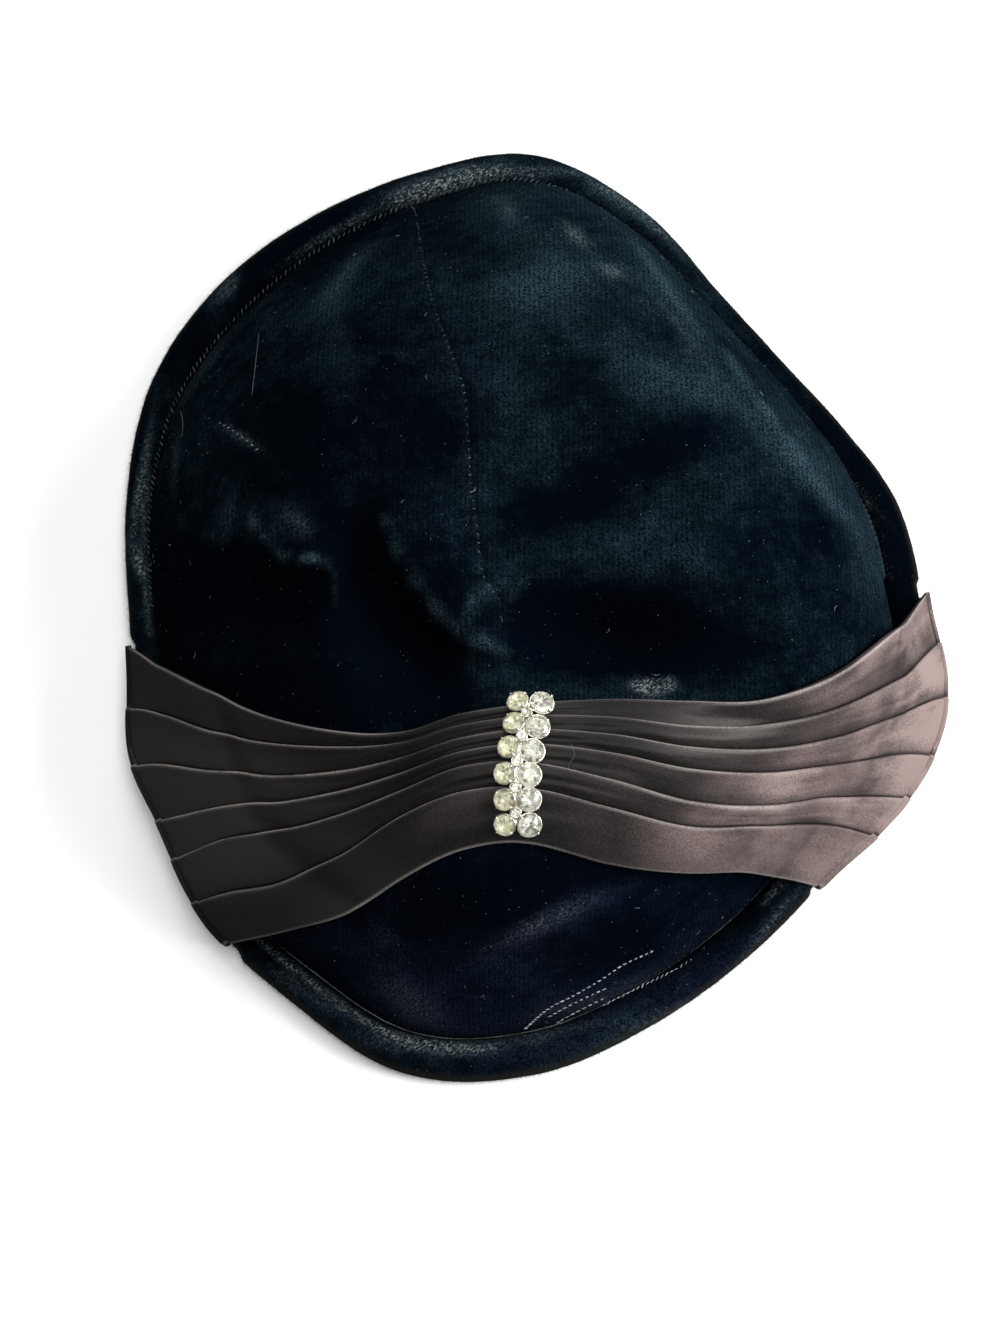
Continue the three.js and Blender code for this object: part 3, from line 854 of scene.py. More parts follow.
def tube(cloth: Cloth, line: Array, radius: Array | float, sides: int, twist: Callable | None = None) -> None:
    """Adds a closed round tube.

    Args:
        cloth: the mesh that gets it.
        line: the middle line's points, one a row.
        radius: the tube's radius, one number or one for each point.
        sides: how many corners go round it.
        twist: gives a share of the radius from the place along the line and the angle round it.
    """
    ahead = unit(np.gradient(line, axis=0))
    side = unit(np.cross(ahead, [0.0, 0.0, 1.0]) + np.array([1e-6, 0, 0]))
    over = np.cross(side, ahead)
    radii = np.broadcast_to(np.asarray(radius, float), (len(line),))
    around = bearings(sides)
    run = np.concatenate([[0], np.cumsum(np.linalg.norm(np.diff(line, axis=0), axis=1))])
    rings = []
    for step, point in enumerate(line):
        share = np.ones(sides) if twist is None else twist(run[step], around)
        spread = np.cos(around)[:, None] * side[step] + np.sin(around)[:, None] * over[step]
        rings.append(cloth.row(point + spread * (radii[step] * share)[:, None]))
    cloth.strips(rings, turned=True)
    cloth.fan(cloth.row(line[0])[0], rings[0])
    cloth.fan(cloth.row(line[-1])[0], rings[-1], turned=True)


# Geometry Nodes for what repeats


class PieceTree:
    """A Geometry Nodes tree with named inputs."""

    def __init__(self, name: str) -> None:
        """Starts a tree with geometry in and out."""
        self.tree = bpy.data.node_groups.new(name, "GeometryNodeTree")
        for way in ("INPUT", "OUTPUT"):
            self.tree.interface.new_socket("Geometry", in_out=way, socket_type="NodeSocketGeometry")
        self.entry = self.tree.nodes.new("NodeGroupInput")
        self.keys: dict[str, str] = {}

    @property
    def base(self) -> Socket:
        """The geometry that the tree starts from."""
        return self.entry.outputs["Geometry"]

    def inputs(self, **kinds: str) -> list[Socket]:
        """Adds named inputs of these kinds, such as Float, and gives their sockets."""
        for name, kind in kinds.items():
            item = self.tree.interface.new_socket(name, in_out="INPUT", socket_type=f"NodeSocket{kind}")
            self.keys[name] = item.identifier
        return [self.entry.outputs[name] for name in kinds]

    def add(self, kind: str, settings: Values = None, values: Values = None, out: int | str = 0) -> Socket:
        """Adds a node as add_node does and gives one of its outputs."""
        return add_node(self.tree, kind, settings, values).outputs[out]

    def maths(self, operation: str, first: Socket, second: Socket | float) -> Socket:
        """One Math node on two values."""
        return self.add("ShaderNodeMath", {"operation": operation}, {0: first, 1: second})

    def named(self, name: str, kind: str = "FLOAT_VECTOR") -> Socket:
        """A vector or a number that each point keeps."""
        return self.add("GeometryNodeInputNamedAttribute", {"data_type": kind}, {"Name": name})

    def chance(self, low: Socket | float, high: Socket | float, seed: Socket) -> Socket:
        """A number for each point, by chance between low and high."""
        values = {2: low, 3: high, "Seed": seed}
        return self.add("FunctionNodeRandomValue", {"data_type": "FLOAT"}, values, out=1)

    def rotation(self, euler: Socket) -> Socket:
        """The rotation that three angles stand for."""
        return self.add("FunctionNodeEulerToRotation", {}, {"Euler": euler})

    def spun(self, upright: Socket, angle: Socket) -> Socket:
        """A rotation that first turns a piece about its own upright axis."""
        spin = self.rotation(self.add("ShaderNodeCombineXYZ", {}, {"Z": angle}))
        values = {"Rotation": upright, "Rotate By": spin}
        return self.add("FunctionNodeRotateRotation", {"rotation_space": "LOCAL"}, values)

    def end(self, points: Socket, piece: Socket, rotation: Socket, size: Socket) -> None:
        """Sets a piece on each point, makes all of them real, gives them their finish and ends the tree.

        Args:
            points: where the pieces go.
            piece: the object that is repeated.
            rotation: how each one is turned.
            size: how large each one is.
        """
        shape = self.add("GeometryNodeObjectInfo", {}, {"Object": piece}, out="Geometry")
        values = {"Points": points, "Instance": shape, "Rotation": rotation, "Scale": size}
        placed = self.add("GeometryNodeInstanceOnPoints", {}, values)
        real = self.add("GeometryNodeRealizeInstances", {}, {"Geometry": placed})
        (finish,) = self.inputs(Finish="Material")
        finished = self.add("GeometryNodeSetMaterial", {}, {"Geometry": real, "Material": finish})
        add_node(self.tree, "NodeGroupOutput", {}, {"Geometry": finished})

    def grown(self, name: str, base: Piece, values: dict) -> Piece:
        """Runs the tree on an object.

        Args:
            name: the new piece's name.
            base: the object that the tree starts from, which is left as it was.
            values: a value for each named input.

        Returns:
            The result as a plain mesh object at the origin.
        """
        modifier = base.modifiers.new("grow", "NODES")
        modifier.node_group = self.tree
        for key, value in values.items():
            modifier[self.keys[key]] = value
        base.update_tag()
        shown = base.evaluated_get(bpy.context.evaluated_depsgraph_get())
        mesh = bpy.data.meshes.new_from_object(shown)
        base.modifiers.remove(modifier)
        mesh.name = name
        return added(name, mesh)


def seed_points(name: str, points: Array, numbers: dict[str, Array]) -> Piece:
    """A line of points, with numbers or vectors on them, for a tree to start from."""
    mesh = bpy.data.meshes.new(name)
    mesh.from_pydata((points * METRES).tolist(), [(i, i + 1) for i in range(len(points) - 1)], [])
    for key, values in numbers.items():
        keep_numbers(mesh, key, values)
    return added(name, mesh)


def drop(*objects: Piece) -> None:
    """Takes objects that only helped to make others out of the scene."""
    for each in objects:
        bpy.data.objects.remove(each)


class StitchTree(PieceTree):
    """Stitches at an even pitch along a line, each slanted across it and lying on the cloth."""

    def __init__(self) -> None:
        """Builds the tree."""
        super().__init__("stitches")
        stitch, pitch, slant, uneven, seed = self.inputs(
            Stitch="Object", Pitch="Float", Slant="Float", Uneven="Float", Seed="Int"
        )
        line = self.add("GeometryNodeMeshToCurve", {}, {"Mesh": self.base})
        cut = self.add("GeometryNodeResampleCurve", {"mode": "LENGTH"}, {"Curve": line, "Length": pitch})
        upright = self.add(
            "FunctionNodeAxesToRotation",
            {"primary_axis": "Z", "secondary_axis": "X"},
            {"Primary Axis": self.named("out"), "Secondary Axis": self.add("GeometryNodeInputTangent")},
        )
        chance = self.chance(self.maths("MULTIPLY", uneven, -1.0), uneven, seed)
        turned = self.spun(upright, self.maths("ADD", slant, chance))
        self.end(cut, stitch, turned, self.chance(0.8, 1.15, seed))


class SeatTree(PieceTree):
    """A piece set on each point, turned and sized by the numbers that the points carry."""

    def __init__(self) -> None:
        """Builds the tree."""
        super().__init__("seated_pieces")
        (piece,) = self.inputs(Piece="Object")
        points = self.add("GeometryNodeMeshToPoints", {}, {"Mesh": self.base, "Radius": METRES})
        self.end(points, piece, self.rotation(self.named("turn")), self.named("size"))


class FluffTree(PieceTree):
    """Fluff strewn over cloth, each bit turned and sized by chance."""

    def __init__(self) -> None:
        """Builds the tree."""
        super().__init__("fluff")
        bit, density, smallest, largest, seed = self.inputs(
            Bit="Object", Density="Float", Smallest="Float", Largest="Float", Seed="Int"
        )
        dense = self.maths("MULTIPLY", density, self.named("pile", "FLOAT"))
        values = {"Mesh": self.base, "Density": dense, "Seed": seed}
        strewn = add_node(self.tree, "GeometryNodeDistributePointsOnFaces", {}, values).outputs
        turned = self.spun(strewn["Rotation"], self.chance(0.0, 2 * math.pi, seed))
        self.end(strewn["Points"], bit, turned, self.chance(smallest, largest, seed))


# The velvet


class Patch(NamedTuple):
    """A patch of the photograph in pixels: middle, half sizes, direction in degrees and strength."""

    x: float
    y: float
    length: float
    width: float
    turn: float
    strength: float


# Patches of crushed pile, in pixels; the long streak at (545, 922) also paints the diagonal sheen at the
# front, a painted highlight.
CRUSHED = table(
    Patch,
    (647, 687, 15, 8, 10, 1.2), (669, 684, 7, 7, 0, 0.9), (545, 922, 62, 11, -24, 0.34),
    (575, 235, 20, 8, 45, 0.46), (612, 272, 16, 7, 20, 0.44), (508, 210, 20, 9, 70, 0.32),
    (240, 437, 22, 5, 32, 0.50), (296, 522, 18, 10, 40, 0.34), (412, 1002, 44, 18, 40, 0.34),
    (386, 935, 20, 12, 40, 0.24), (640, 985, 70, 7, -26, 0.26), (228, 515, 8, 26, 10, 0.18),
    (345, 276, 46, 6, -48, 0.22), (200, 372, 62, 6, -52, 0.20), (176, 460, 40, 4, 96, 0.22),
    (682, 330, 52, 5, 52, 0.20), (875, 535, 34, 6, 58, 0.20), (150, 600, 40, 8, 70, 0.25),
    (560, 1008, 46, 10, -18, 0.22),
)

# Patches of lighter and darker pile, in pixels: the darker ones are painted shade, deepest in the crown's
# hollows, and the lighter ones are lighter pile and painted sheen.
NAP = table(
    Patch,
    (515, 225, 60, 34, 60, 0.36), (530, 284, 72, 24, -8, 0.48), (655, 372, 90, 30, 22, 0.36),
    (640, 545, 62, 44, 10, 0.28), (334, 350, 86, 26, 84, 0.25), (345, 276, 42, 12, -50, 0.25),
    (800, 462, 100, 13, 52, 0.45), (872, 572, 34, 26, 60, 0.15), (668, 292, 74, 13, 54, 0.35),
    (296, 512, 44, 18, 18, 0.16), (205, 480, 70, 22, 76, 0.06), (498, 586, 36, 8, -52, 0.24),
    (452, 590, 72, 22, 52, -0.22), (232, 512, 14, 30, 5, 0.20), (555, 922, 74, 11, -26, 0.36),
    (405, 1000, 52, 28, 34, 0.36), (350, 945, 46, 18, 10, 0.30), (520, 975, 40, 12, 20, 0.25),
    (572, 368, 44, 40, 0, -0.35), (668, 448, 72, 22, -14, -0.45), (560, 508, 64, 24, -12, -0.40),
    (290, 412, 60, 40, 20, -0.25), (396, 632, 88, 27, 56, -1.20), (236, 600, 104, 34, 5, -1.00),
    (812, 530, 74, 50, 50, -0.45), (615, 945, 90, 26, -24, -0.40), (470, 905, 70, 24, -10, -0.25),
    (620, 640, 104, 32, 4, -1.00), (452, 432, 60, 48, 0, -0.20), (745, 560, 60, 50, 0, -0.15),
    (655, 868, 130, 20, 6, -0.40), (300, 690, 140, 24, 12, -0.45),
)

ROLL_CRUSHED = table(
    Patch,
    (435, 186, 48, 10, -16, 1.1), (225, 292, 20, 7, -50, 0.30), (530, 172, 60, 5, 2, 0.45),
    (612, 196, 34, 7, 34, 0.50), (230, 285, 16, 9, -50, 0.35), (139, 563, 14, 5, 80, 1.5),
    (140, 490, 60, 5, 100, 0.90), (152, 615, 40, 6, 70, 0.02), (855, 485, 70, 6, 50, 0.20),
    (430, 1045, 70, 10, 5, 0.52), (680, 1010, 80, 9, -22, 0.32), (300, 990, 50, 8, 32, 0.40),
    (768, 926, 50, 6, -52, 0.48), (545, 1031, 66, 6, -8, 0.40), (648, 220, 46, 6, 45, 0.50),
)

SEAM: Pixels = (
    (407, 190), (415, 212), (423, 260), (434, 308), (452, 356), (464, 391),
    (468, 439), (471, 487), (477, 528), (482, 573), (497, 598),
)


class Crease(NamedTuple):
    """A raised or sunken line that follows pixels of the photograph: height, half width and the share of
    crushed pile and painted highlight along its crest.
    """

    places: Pixels
    height: float
    width: float
    worn: float


# The last column is the share of crushed pile and painted highlight along each crest.
CREASES = table(
    Crease,
    (((718, 345), (745, 385), (779, 431), (812, 480), (846, 520)), 0.9, 2.4, 0.10),
    (((628, 236), (650, 268), (676, 304), (704, 338)), 0.8, 2.0, 0.10),
    (((374, 504), (396, 554), (417, 590), (438, 616), (476, 641), (514, 656)), 1.7, 2.0, 0.18),
    (((362, 544), (382, 596), (408, 640), (446, 668)), -1.4, 2.6, 0.0),
    (((462, 622), (474, 600), (494, 588)), 1.0, 1.8, 0.13),
    (((500, 622), (512, 594), (530, 576)), 0.7, 1.8, 0.05),
    (((246, 508), (262, 540), (290, 561), (322, 564), (336, 584), (334, 612)), 1.4, 1.5, 0.24),
    (((300, 574), (318, 580), (322, 600), (316, 622)), -1.0, 2.0, 0.0),
    (((262, 505), (284, 530), (316, 545)), -0.5, 2.0, 0.0),
    (((162, 520), (200, 534), (240, 546)), 0.6, 2.2, 0.03),
    (((200, 420), (228, 446), (262, 470)), 0.5, 2.2, 0.0),
    (((560, 660), (620, 668), (690, 655)), 0.5, 2.6, 0.0),
    (((475, 943), (545, 922), (620, 897)), 0.6, 3.4, 0.0),
    (((560, 1012), (640, 984), (735, 936)), 0.7, 2.4, 0.05),
)


def strength_at(view: PhotoView, patches: Sequence[Patch], x: Array, y: Array, height: Height) -> Array:
    """How strongly a set of patches shows at places on the hat.

    Args:
        view: the photograph's camera.
        patches: the patches, in pixels.
        x, y: places on the plan.
        height: the surface that carries the patches.

    Returns:
        A number from 0 up for each place.
    """
    total = np.zeros(np.shape(x))
    for patch in patches:
        turn = math.radians(patch.turn)
        end = (patch.x + patch.length * math.cos(turn), patch.y + patch.length * math.sin(turn))
        side = (patch.x - patch.width * math.sin(turn), patch.y + patch.width * math.cos(turn))
        middle, far, beside = view.onto(((patch.x, patch.y), end, side), height)[:, :2]
        frame = np.stack([far - middle, beside - middle], axis=1)
        away = np.stack([x - middle[0], y - middle[1]]).reshape(2, -1)
        local = np.linalg.solve(frame + np.eye(2) * 1e-6, away)
        total += (patch.strength * np.exp(-(local**2).sum(0))).reshape(np.shape(x))
    return total


@dataclass
class Crown:
    """The soft velvet crown, a wall of cloth open underneath, with its seam, hollows, folds and creases."""

    form: HatForm
    view: PhotoView
    wall: float = 2.2
    sectors: int = 400
    rings: int = 172
    inner_rings: int = 34
    foot_rings: int = 5
    lumps: float = 0.45
    seam_depth: float = 0.12
    seam_sides: float = 0.3
    least_nap: float = -0.4
    inner_nap: float = 0.1
    flat: tuple[float, float] = (0.27, 0.25)
    flat_area: float = 0.045

    seam: Array = field(init=False)
    creases: list[tuple[Crease, Array]] = field(init=False)

    def __post_init__(self) -> None:
        """Carries the seam and the creases onto the crown."""
        self.seam = smooth_path(self.view.onto(SEAM, self.form.height), 6)
        lines = [smooth_path(self.view.onto(crease.places, self.form.height), 5) for crease in CREASES]
        self.creases = list(zip(CREASES, lines))

    def relief(self, x: Array, y: Array) -> Array:
        """How far the cloth stands off the crown's rule of shape, with its lumps, creases and seam.

        Args:
            x, y: places on the plan.

        Returns:
            A distance for each place.
        """
        lumps = soft_noise(x, y, 31, 3) + 0.5 * soft_noise(x, y, 13, 5) + 0.2 * soft_noise(x, y, 6, 8)
        total = self.lumps * lumps
        for crease, line in self.creases:
            away, along = line_distance(x, y, line)
            total = total + crease.height * bell(away, crease.width) * taper(along)
        away, _ = line_distance(x, y, self.seam)
        total = total + self.seam_sides * bell(away - 1.9, 1.1) - self.seam_depth * bell(away, 0.9)
        share = np.hypot(x, y) / self.form.foot_reach(np.arctan2(y, x))
        return total * (1 - smoothstep(share, 0.93, 0.995))

    def shares(self, count: int) -> Array:
        """Shares of the way out that keep this many rings about evenly apart along the cloth."""
        reach, height, fullness, steepness, samples = 90, 70, 3.3, 0.8, 4000
        share = np.linspace(0, 0.9998, samples)
        level = height * (1 - share**fullness) ** steepness
        run = np.concatenate([[0], np.cumsum(np.hypot(np.diff(share * reach), np.diff(level)))])
        return np.interp(np.linspace(0, run[-1], count + 1)[1:], run, share)

    def skin(self, cloth: Cloth, depth: float, rings: int, fine: bool) -> tuple[int, list[Array]]:
        """Adds one face of the wall.

        Args:
            cloth: the mesh that gets it.
            depth: how far it lies inside the outer face.
            rings: how many rings it has.
            fine: whether it has the cloth's relief.

        Returns:
            The number of the top point and the rings from the top down.
        """
        angle = bearings(self.sectors)
        reach = self.form.foot_reach(angle)
        lift = self.relief(np.zeros(1), np.zeros(1))[0] if fine else 0
        top = cloth.row(self.form.above(np.zeros(1), np.zeros(1), lift - depth))[0]
        found = []
        for share in self.shares(rings):
            x, y = np.cos(angle) * reach * share, np.sin(angle) * reach * share
            stand = self.relief(x, y) if fine else np.zeros_like(x)
            found.append(cloth.row(self.form.above(x, y, stand - depth)))
        lowest = self.form.foot_clearance
        bottom = lowest + (self.form.under_band + self.form.gap - lowest) * self.form.covered(angle)
        for share in np.linspace(0, 1, self.foot_rings):
            z = self.form.foot_height + (bottom - self.form.foot_height) * share
            found.append(cloth.row(on_radius(angle, reach - depth, z)))
        return top, found

    def paint(self, cloth: Cloth, outside: Array) -> None:
        """Says where the velvet is crushed, brushed and sewn, where its creases carry crushed pile and
        painted highlights, and where painted shade and painted sheen lie.

        Args:
            cloth: the crown's mesh in the making.
            outside: which of its points lie on its outside.
        """
        x, y = cloth.whole()[:, 0], cloth.whole()[:, 1]
        gap, _ = line_distance(x, y, self.seam)
        crush = strength_at(self.view, CRUSHED, x, y, self.form.height)
        pile_and_light = 0.36 + 0.2 * soft_noise(x, y, 26, 11) + 0.1 * soft_noise(x, y, 9, 12)
        # painted shade: darker towards the left, away from the key light
        pile_and_light = pile_and_light - 0.2 * smoothstep(-x, 5, 60)
        broken = np.clip(0.8 + 0.8 * soft_noise(x, y, 3.2, 14), 0.3, 1.4)
        # Along the marked creases: crushed pile and a painted highlight on the crest, and a broader painted
        # highlight on the flank beside it.
        for crease, line in self.creases:
            if not crease.worn:
                continue
            away, along = line_distance(x, y, line)
            flank, beside = line_distance(x - 3.4, y - 1.6, line)
            fading = taper(along) * broken
            crush = crush + crease.worn * bell(away, 1.2) * fading
            pile_and_light = pile_and_light + 4 * crease.worn * bell(away, 1.5) * fading
            pile_and_light = pile_and_light + 0.8 * crease.worn * bell(flank, 4) * taper(beside)
        pile_and_light = pile_and_light + np.minimum(crush, 0.5)
        # the patches of painted shade, deepest in the hollows, and of painted sheen
        pile_and_light = pile_and_light + strength_at(self.view, NAP, x, y, self.form.height)
        cloth.paint(
            seam_gap=np.where(outside, gap, NO_SEAM),
            pile=outside.astype(float),
            crush=np.where(outside, crush, 0),
            nap=np.where(outside, np.maximum(pile_and_light, self.least_nap), self.inner_nap),
            navy=0.25 + 0.75 * smoothstep(-y, 35, 62),
            faded=0.0,
        )

    def build(self, velvet: Finish) -> Piece:
        """Makes the crown.

        Args:
            velvet: its finish.

        Returns:
            The crown's object.
        """
        cloth = Cloth("velvet_crown")
        top, outer = self.skin(cloth, 0, self.rings, True)
        outer_count = cloth.count
        low, inner = self.skin(cloth, self.wall, self.inner_rings, False)
        cloth.fan(top, outer[0])
        cloth.fan(low, inner[0], turned=True)
        cloth.strips(outer)
        cloth.strips(inner, turned=True)
        cloth.strips([outer[-1], inner[-1]])
        self.paint(cloth, np.arange(cloth.count) < outer_count)
        made = cloth.made(velvet)
        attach(made, BODY)
        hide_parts("crown")
        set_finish(made, "velvet")
        return made


@dataclass
class EdgeRoll:
    """The padded velvet roll round the edge, puckered by its stitches, with a flat underside."""

    form: HatForm
    view: PhotoView
    sectors: int = 720
    section_steps: int = 4
    pucker: float = 0.22
    middle_reach: float = 95
    most_swell: float = 0.2
    fill: float = 0.6

    SECTION = (
        (-0.24, 0.0), (0.24, 0.0), (0.44, 0.2), (0.5, 0.48), (0.4, 0.8),
        (0.15, 0.98), (-0.15, 0.98), (-0.4, 0.76), (-0.5, 0.42), (-0.44, 0.16),
    )

    def section(self) -> Array:
        """The roll's section, as shares across and up, with its flat underside kept."""
        corners = np.array(self.SECTION)
        closed = np.vstack([corners[-1:], corners, corners[:2]])
        share = np.linspace(0, 1, self.section_steps, endpoint=False)[:, None]
        parts = [smooth_between(*closed[row : row + 4], share) for row in range(len(corners))]
        parts[0] = corners[0] + (corners[1] - corners[0]) * share
        whole = np.vstack(parts)
        whole[:, 1] = np.maximum(whole[:, 1], 0)
        return whole

    def worn_ridge(self, angle: Array, run: Array) -> Array:
        """How much the pile is worn along the roll's top: in patches, and least at the right."""
        still = np.zeros_like(run)
        patches = soft_noise(run, still, 24, 23) + 0.4 * soft_noise(run, still, 5, 25)
        ridge = smoothstep(patches, -0.5, 0.7) * (1 - self.form.covered(angle))
        return ridge * (1 - 0.8 * smoothstep(np.cos(angle - 0.6), 0.6, 0.95))

    def paint(self, cloth: Cloth, worn: Array, faded: Array) -> None:
        """Says where the roll's velvet is crushed, brushed and faded, with painted shade towards its left and
        a darker tone at its right back.

        Args:
            cloth: the roll's mesh in the making.
            worn: how much each point is worn.
            faded: how much each point is faded.
        """
        x, y, z = cloth.whole().T
        crush = strength_at(self.view, ROLL_CRUSHED, x, y, level_plane(self.form.roll_height - 1.0)) + worn
        stripes = 0.5 + 0.5 * np.sin(2.4 * (x * 0.8 + y) + 2 * soft_noise(x, y, 4, 24))
        pile_and_light = 0.30 + 0.3 * soft_noise(x, y, 18, 31) + np.minimum(1.2 * crush, 0.5)
        # painted shade: darker towards the left, away from the key light
        pile_and_light = pile_and_light - 0.2 * smoothstep(-x, 10, 60) * smoothstep(y, -40, 20)
        cloth.paint(
            seam_gap=NO_SEAM,
            pile=smoothstep(z, 1.2, 2.0),
            crush=crush * (0.55 + 0.45 * stripes),
            nap=pile_and_light - 0.45 * smoothstep(x, 30, 75) * smoothstep(y, -20, 10),
            navy=0.1 + 0.4 * smoothstep(-y, 30, 70),
            faded=0.55 * faded,
        )

    def build(self, velvet: Finish) -> Piece:
        """Makes the roll.

        Args:
            velvet: its finish.

        Returns:
            The roll's object.
        """
        cloth = Cloth("velvet_roll")
        angle = bearings(self.sectors)
        covered = self.form.covered(angle)
        squeeze = self.form.squeeze * covered
        width, reach = self.form.rim("roll", angle) - squeeze, self.form.rim("reach", angle) - squeeze
        run = angle * self.middle_reach
        bottom = self.form.under_band * covered
        ridge = self.worn_ridge(angle, run)
        rows, worn, faded = [], [], []
        for across, up in self.section():
            worn.append(ridge * bell(across + 0.26, 0.12) * (up > 0.5))
            faded.append(np.full_like(angle, float(smoothstep(across, 0.3, 0.5))))
            radius = reach - width / 2 + across * width
            z = bottom + up * (self.form.roll_height - bottom)
            slanted = run + 3.0 * across * width
            waves = soft_noise(slanted, run * 0 + across * 3, 2.6, 21) * 0.6
            waves = waves + soft_noise(slanted, run * 0 + up, 9, 22)
            free = up * (1 - 0.9 * covered)
            swell = np.minimum(self.pucker * waves, self.most_swell) * free
            rows.append(cloth.row(on_radius(angle, radius + 1.4 * across * swell, z + (up - 0.4) * swell)))
        cloth.strips(rows + rows[:1], turned=True)
        self.paint(cloth, np.concatenate(worn), np.concatenate(faded))
        made = cloth.made(velvet)
        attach(made, BODY)
        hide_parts("edge_roll")
        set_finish(made, "roll_velvet")
        return made


# The satin band


class LipPoint(NamedTuple):
    """A point of a pleat's section: share of the pleat's width and shift from its fold, and height."""

    share: float
    shift: float
    height: float


PLEAT_SECTION = table(
    LipPoint,
    (0.0, 0.55, 0.72), (0.0, 0.05, 0.80), (0.0, -0.22, 1.05), (0.0, -0.34, 1.38), (0.0, -0.22, 1.70),
    (0.0, 0.06, 1.90), (0.0, 0.48, 1.92), (0.14, 0.55, 1.80), (0.26, 0.45, 1.72), (0.38, 0.3, 1.62),
    (0.50, 0.2, 1.52), (0.62, 0.1, 1.42), (0.74, 0.0, 1.30), (0.86, 0.0, 1.16), (0.95, 0.0, 1.02),
)


class WrapPoint(NamedTuple):
    """How the band goes round under the edge: distance in from the rim and height of its inner face."""

    inward: float
    up: float


WRAP = table(
    WrapPoint,
    (0.15, 2.3), (0.5, 1.8), (1.4, 1.45), (3.2, 1.25), (8.5, 1.25), (14, 1.25),
)


class BandLine(NamedTuple):
    """A line along the band: its points, its place across the cloth, and what the finish reads there."""

    points: Array
    across: float
    lip: Array
    rubbed: Array


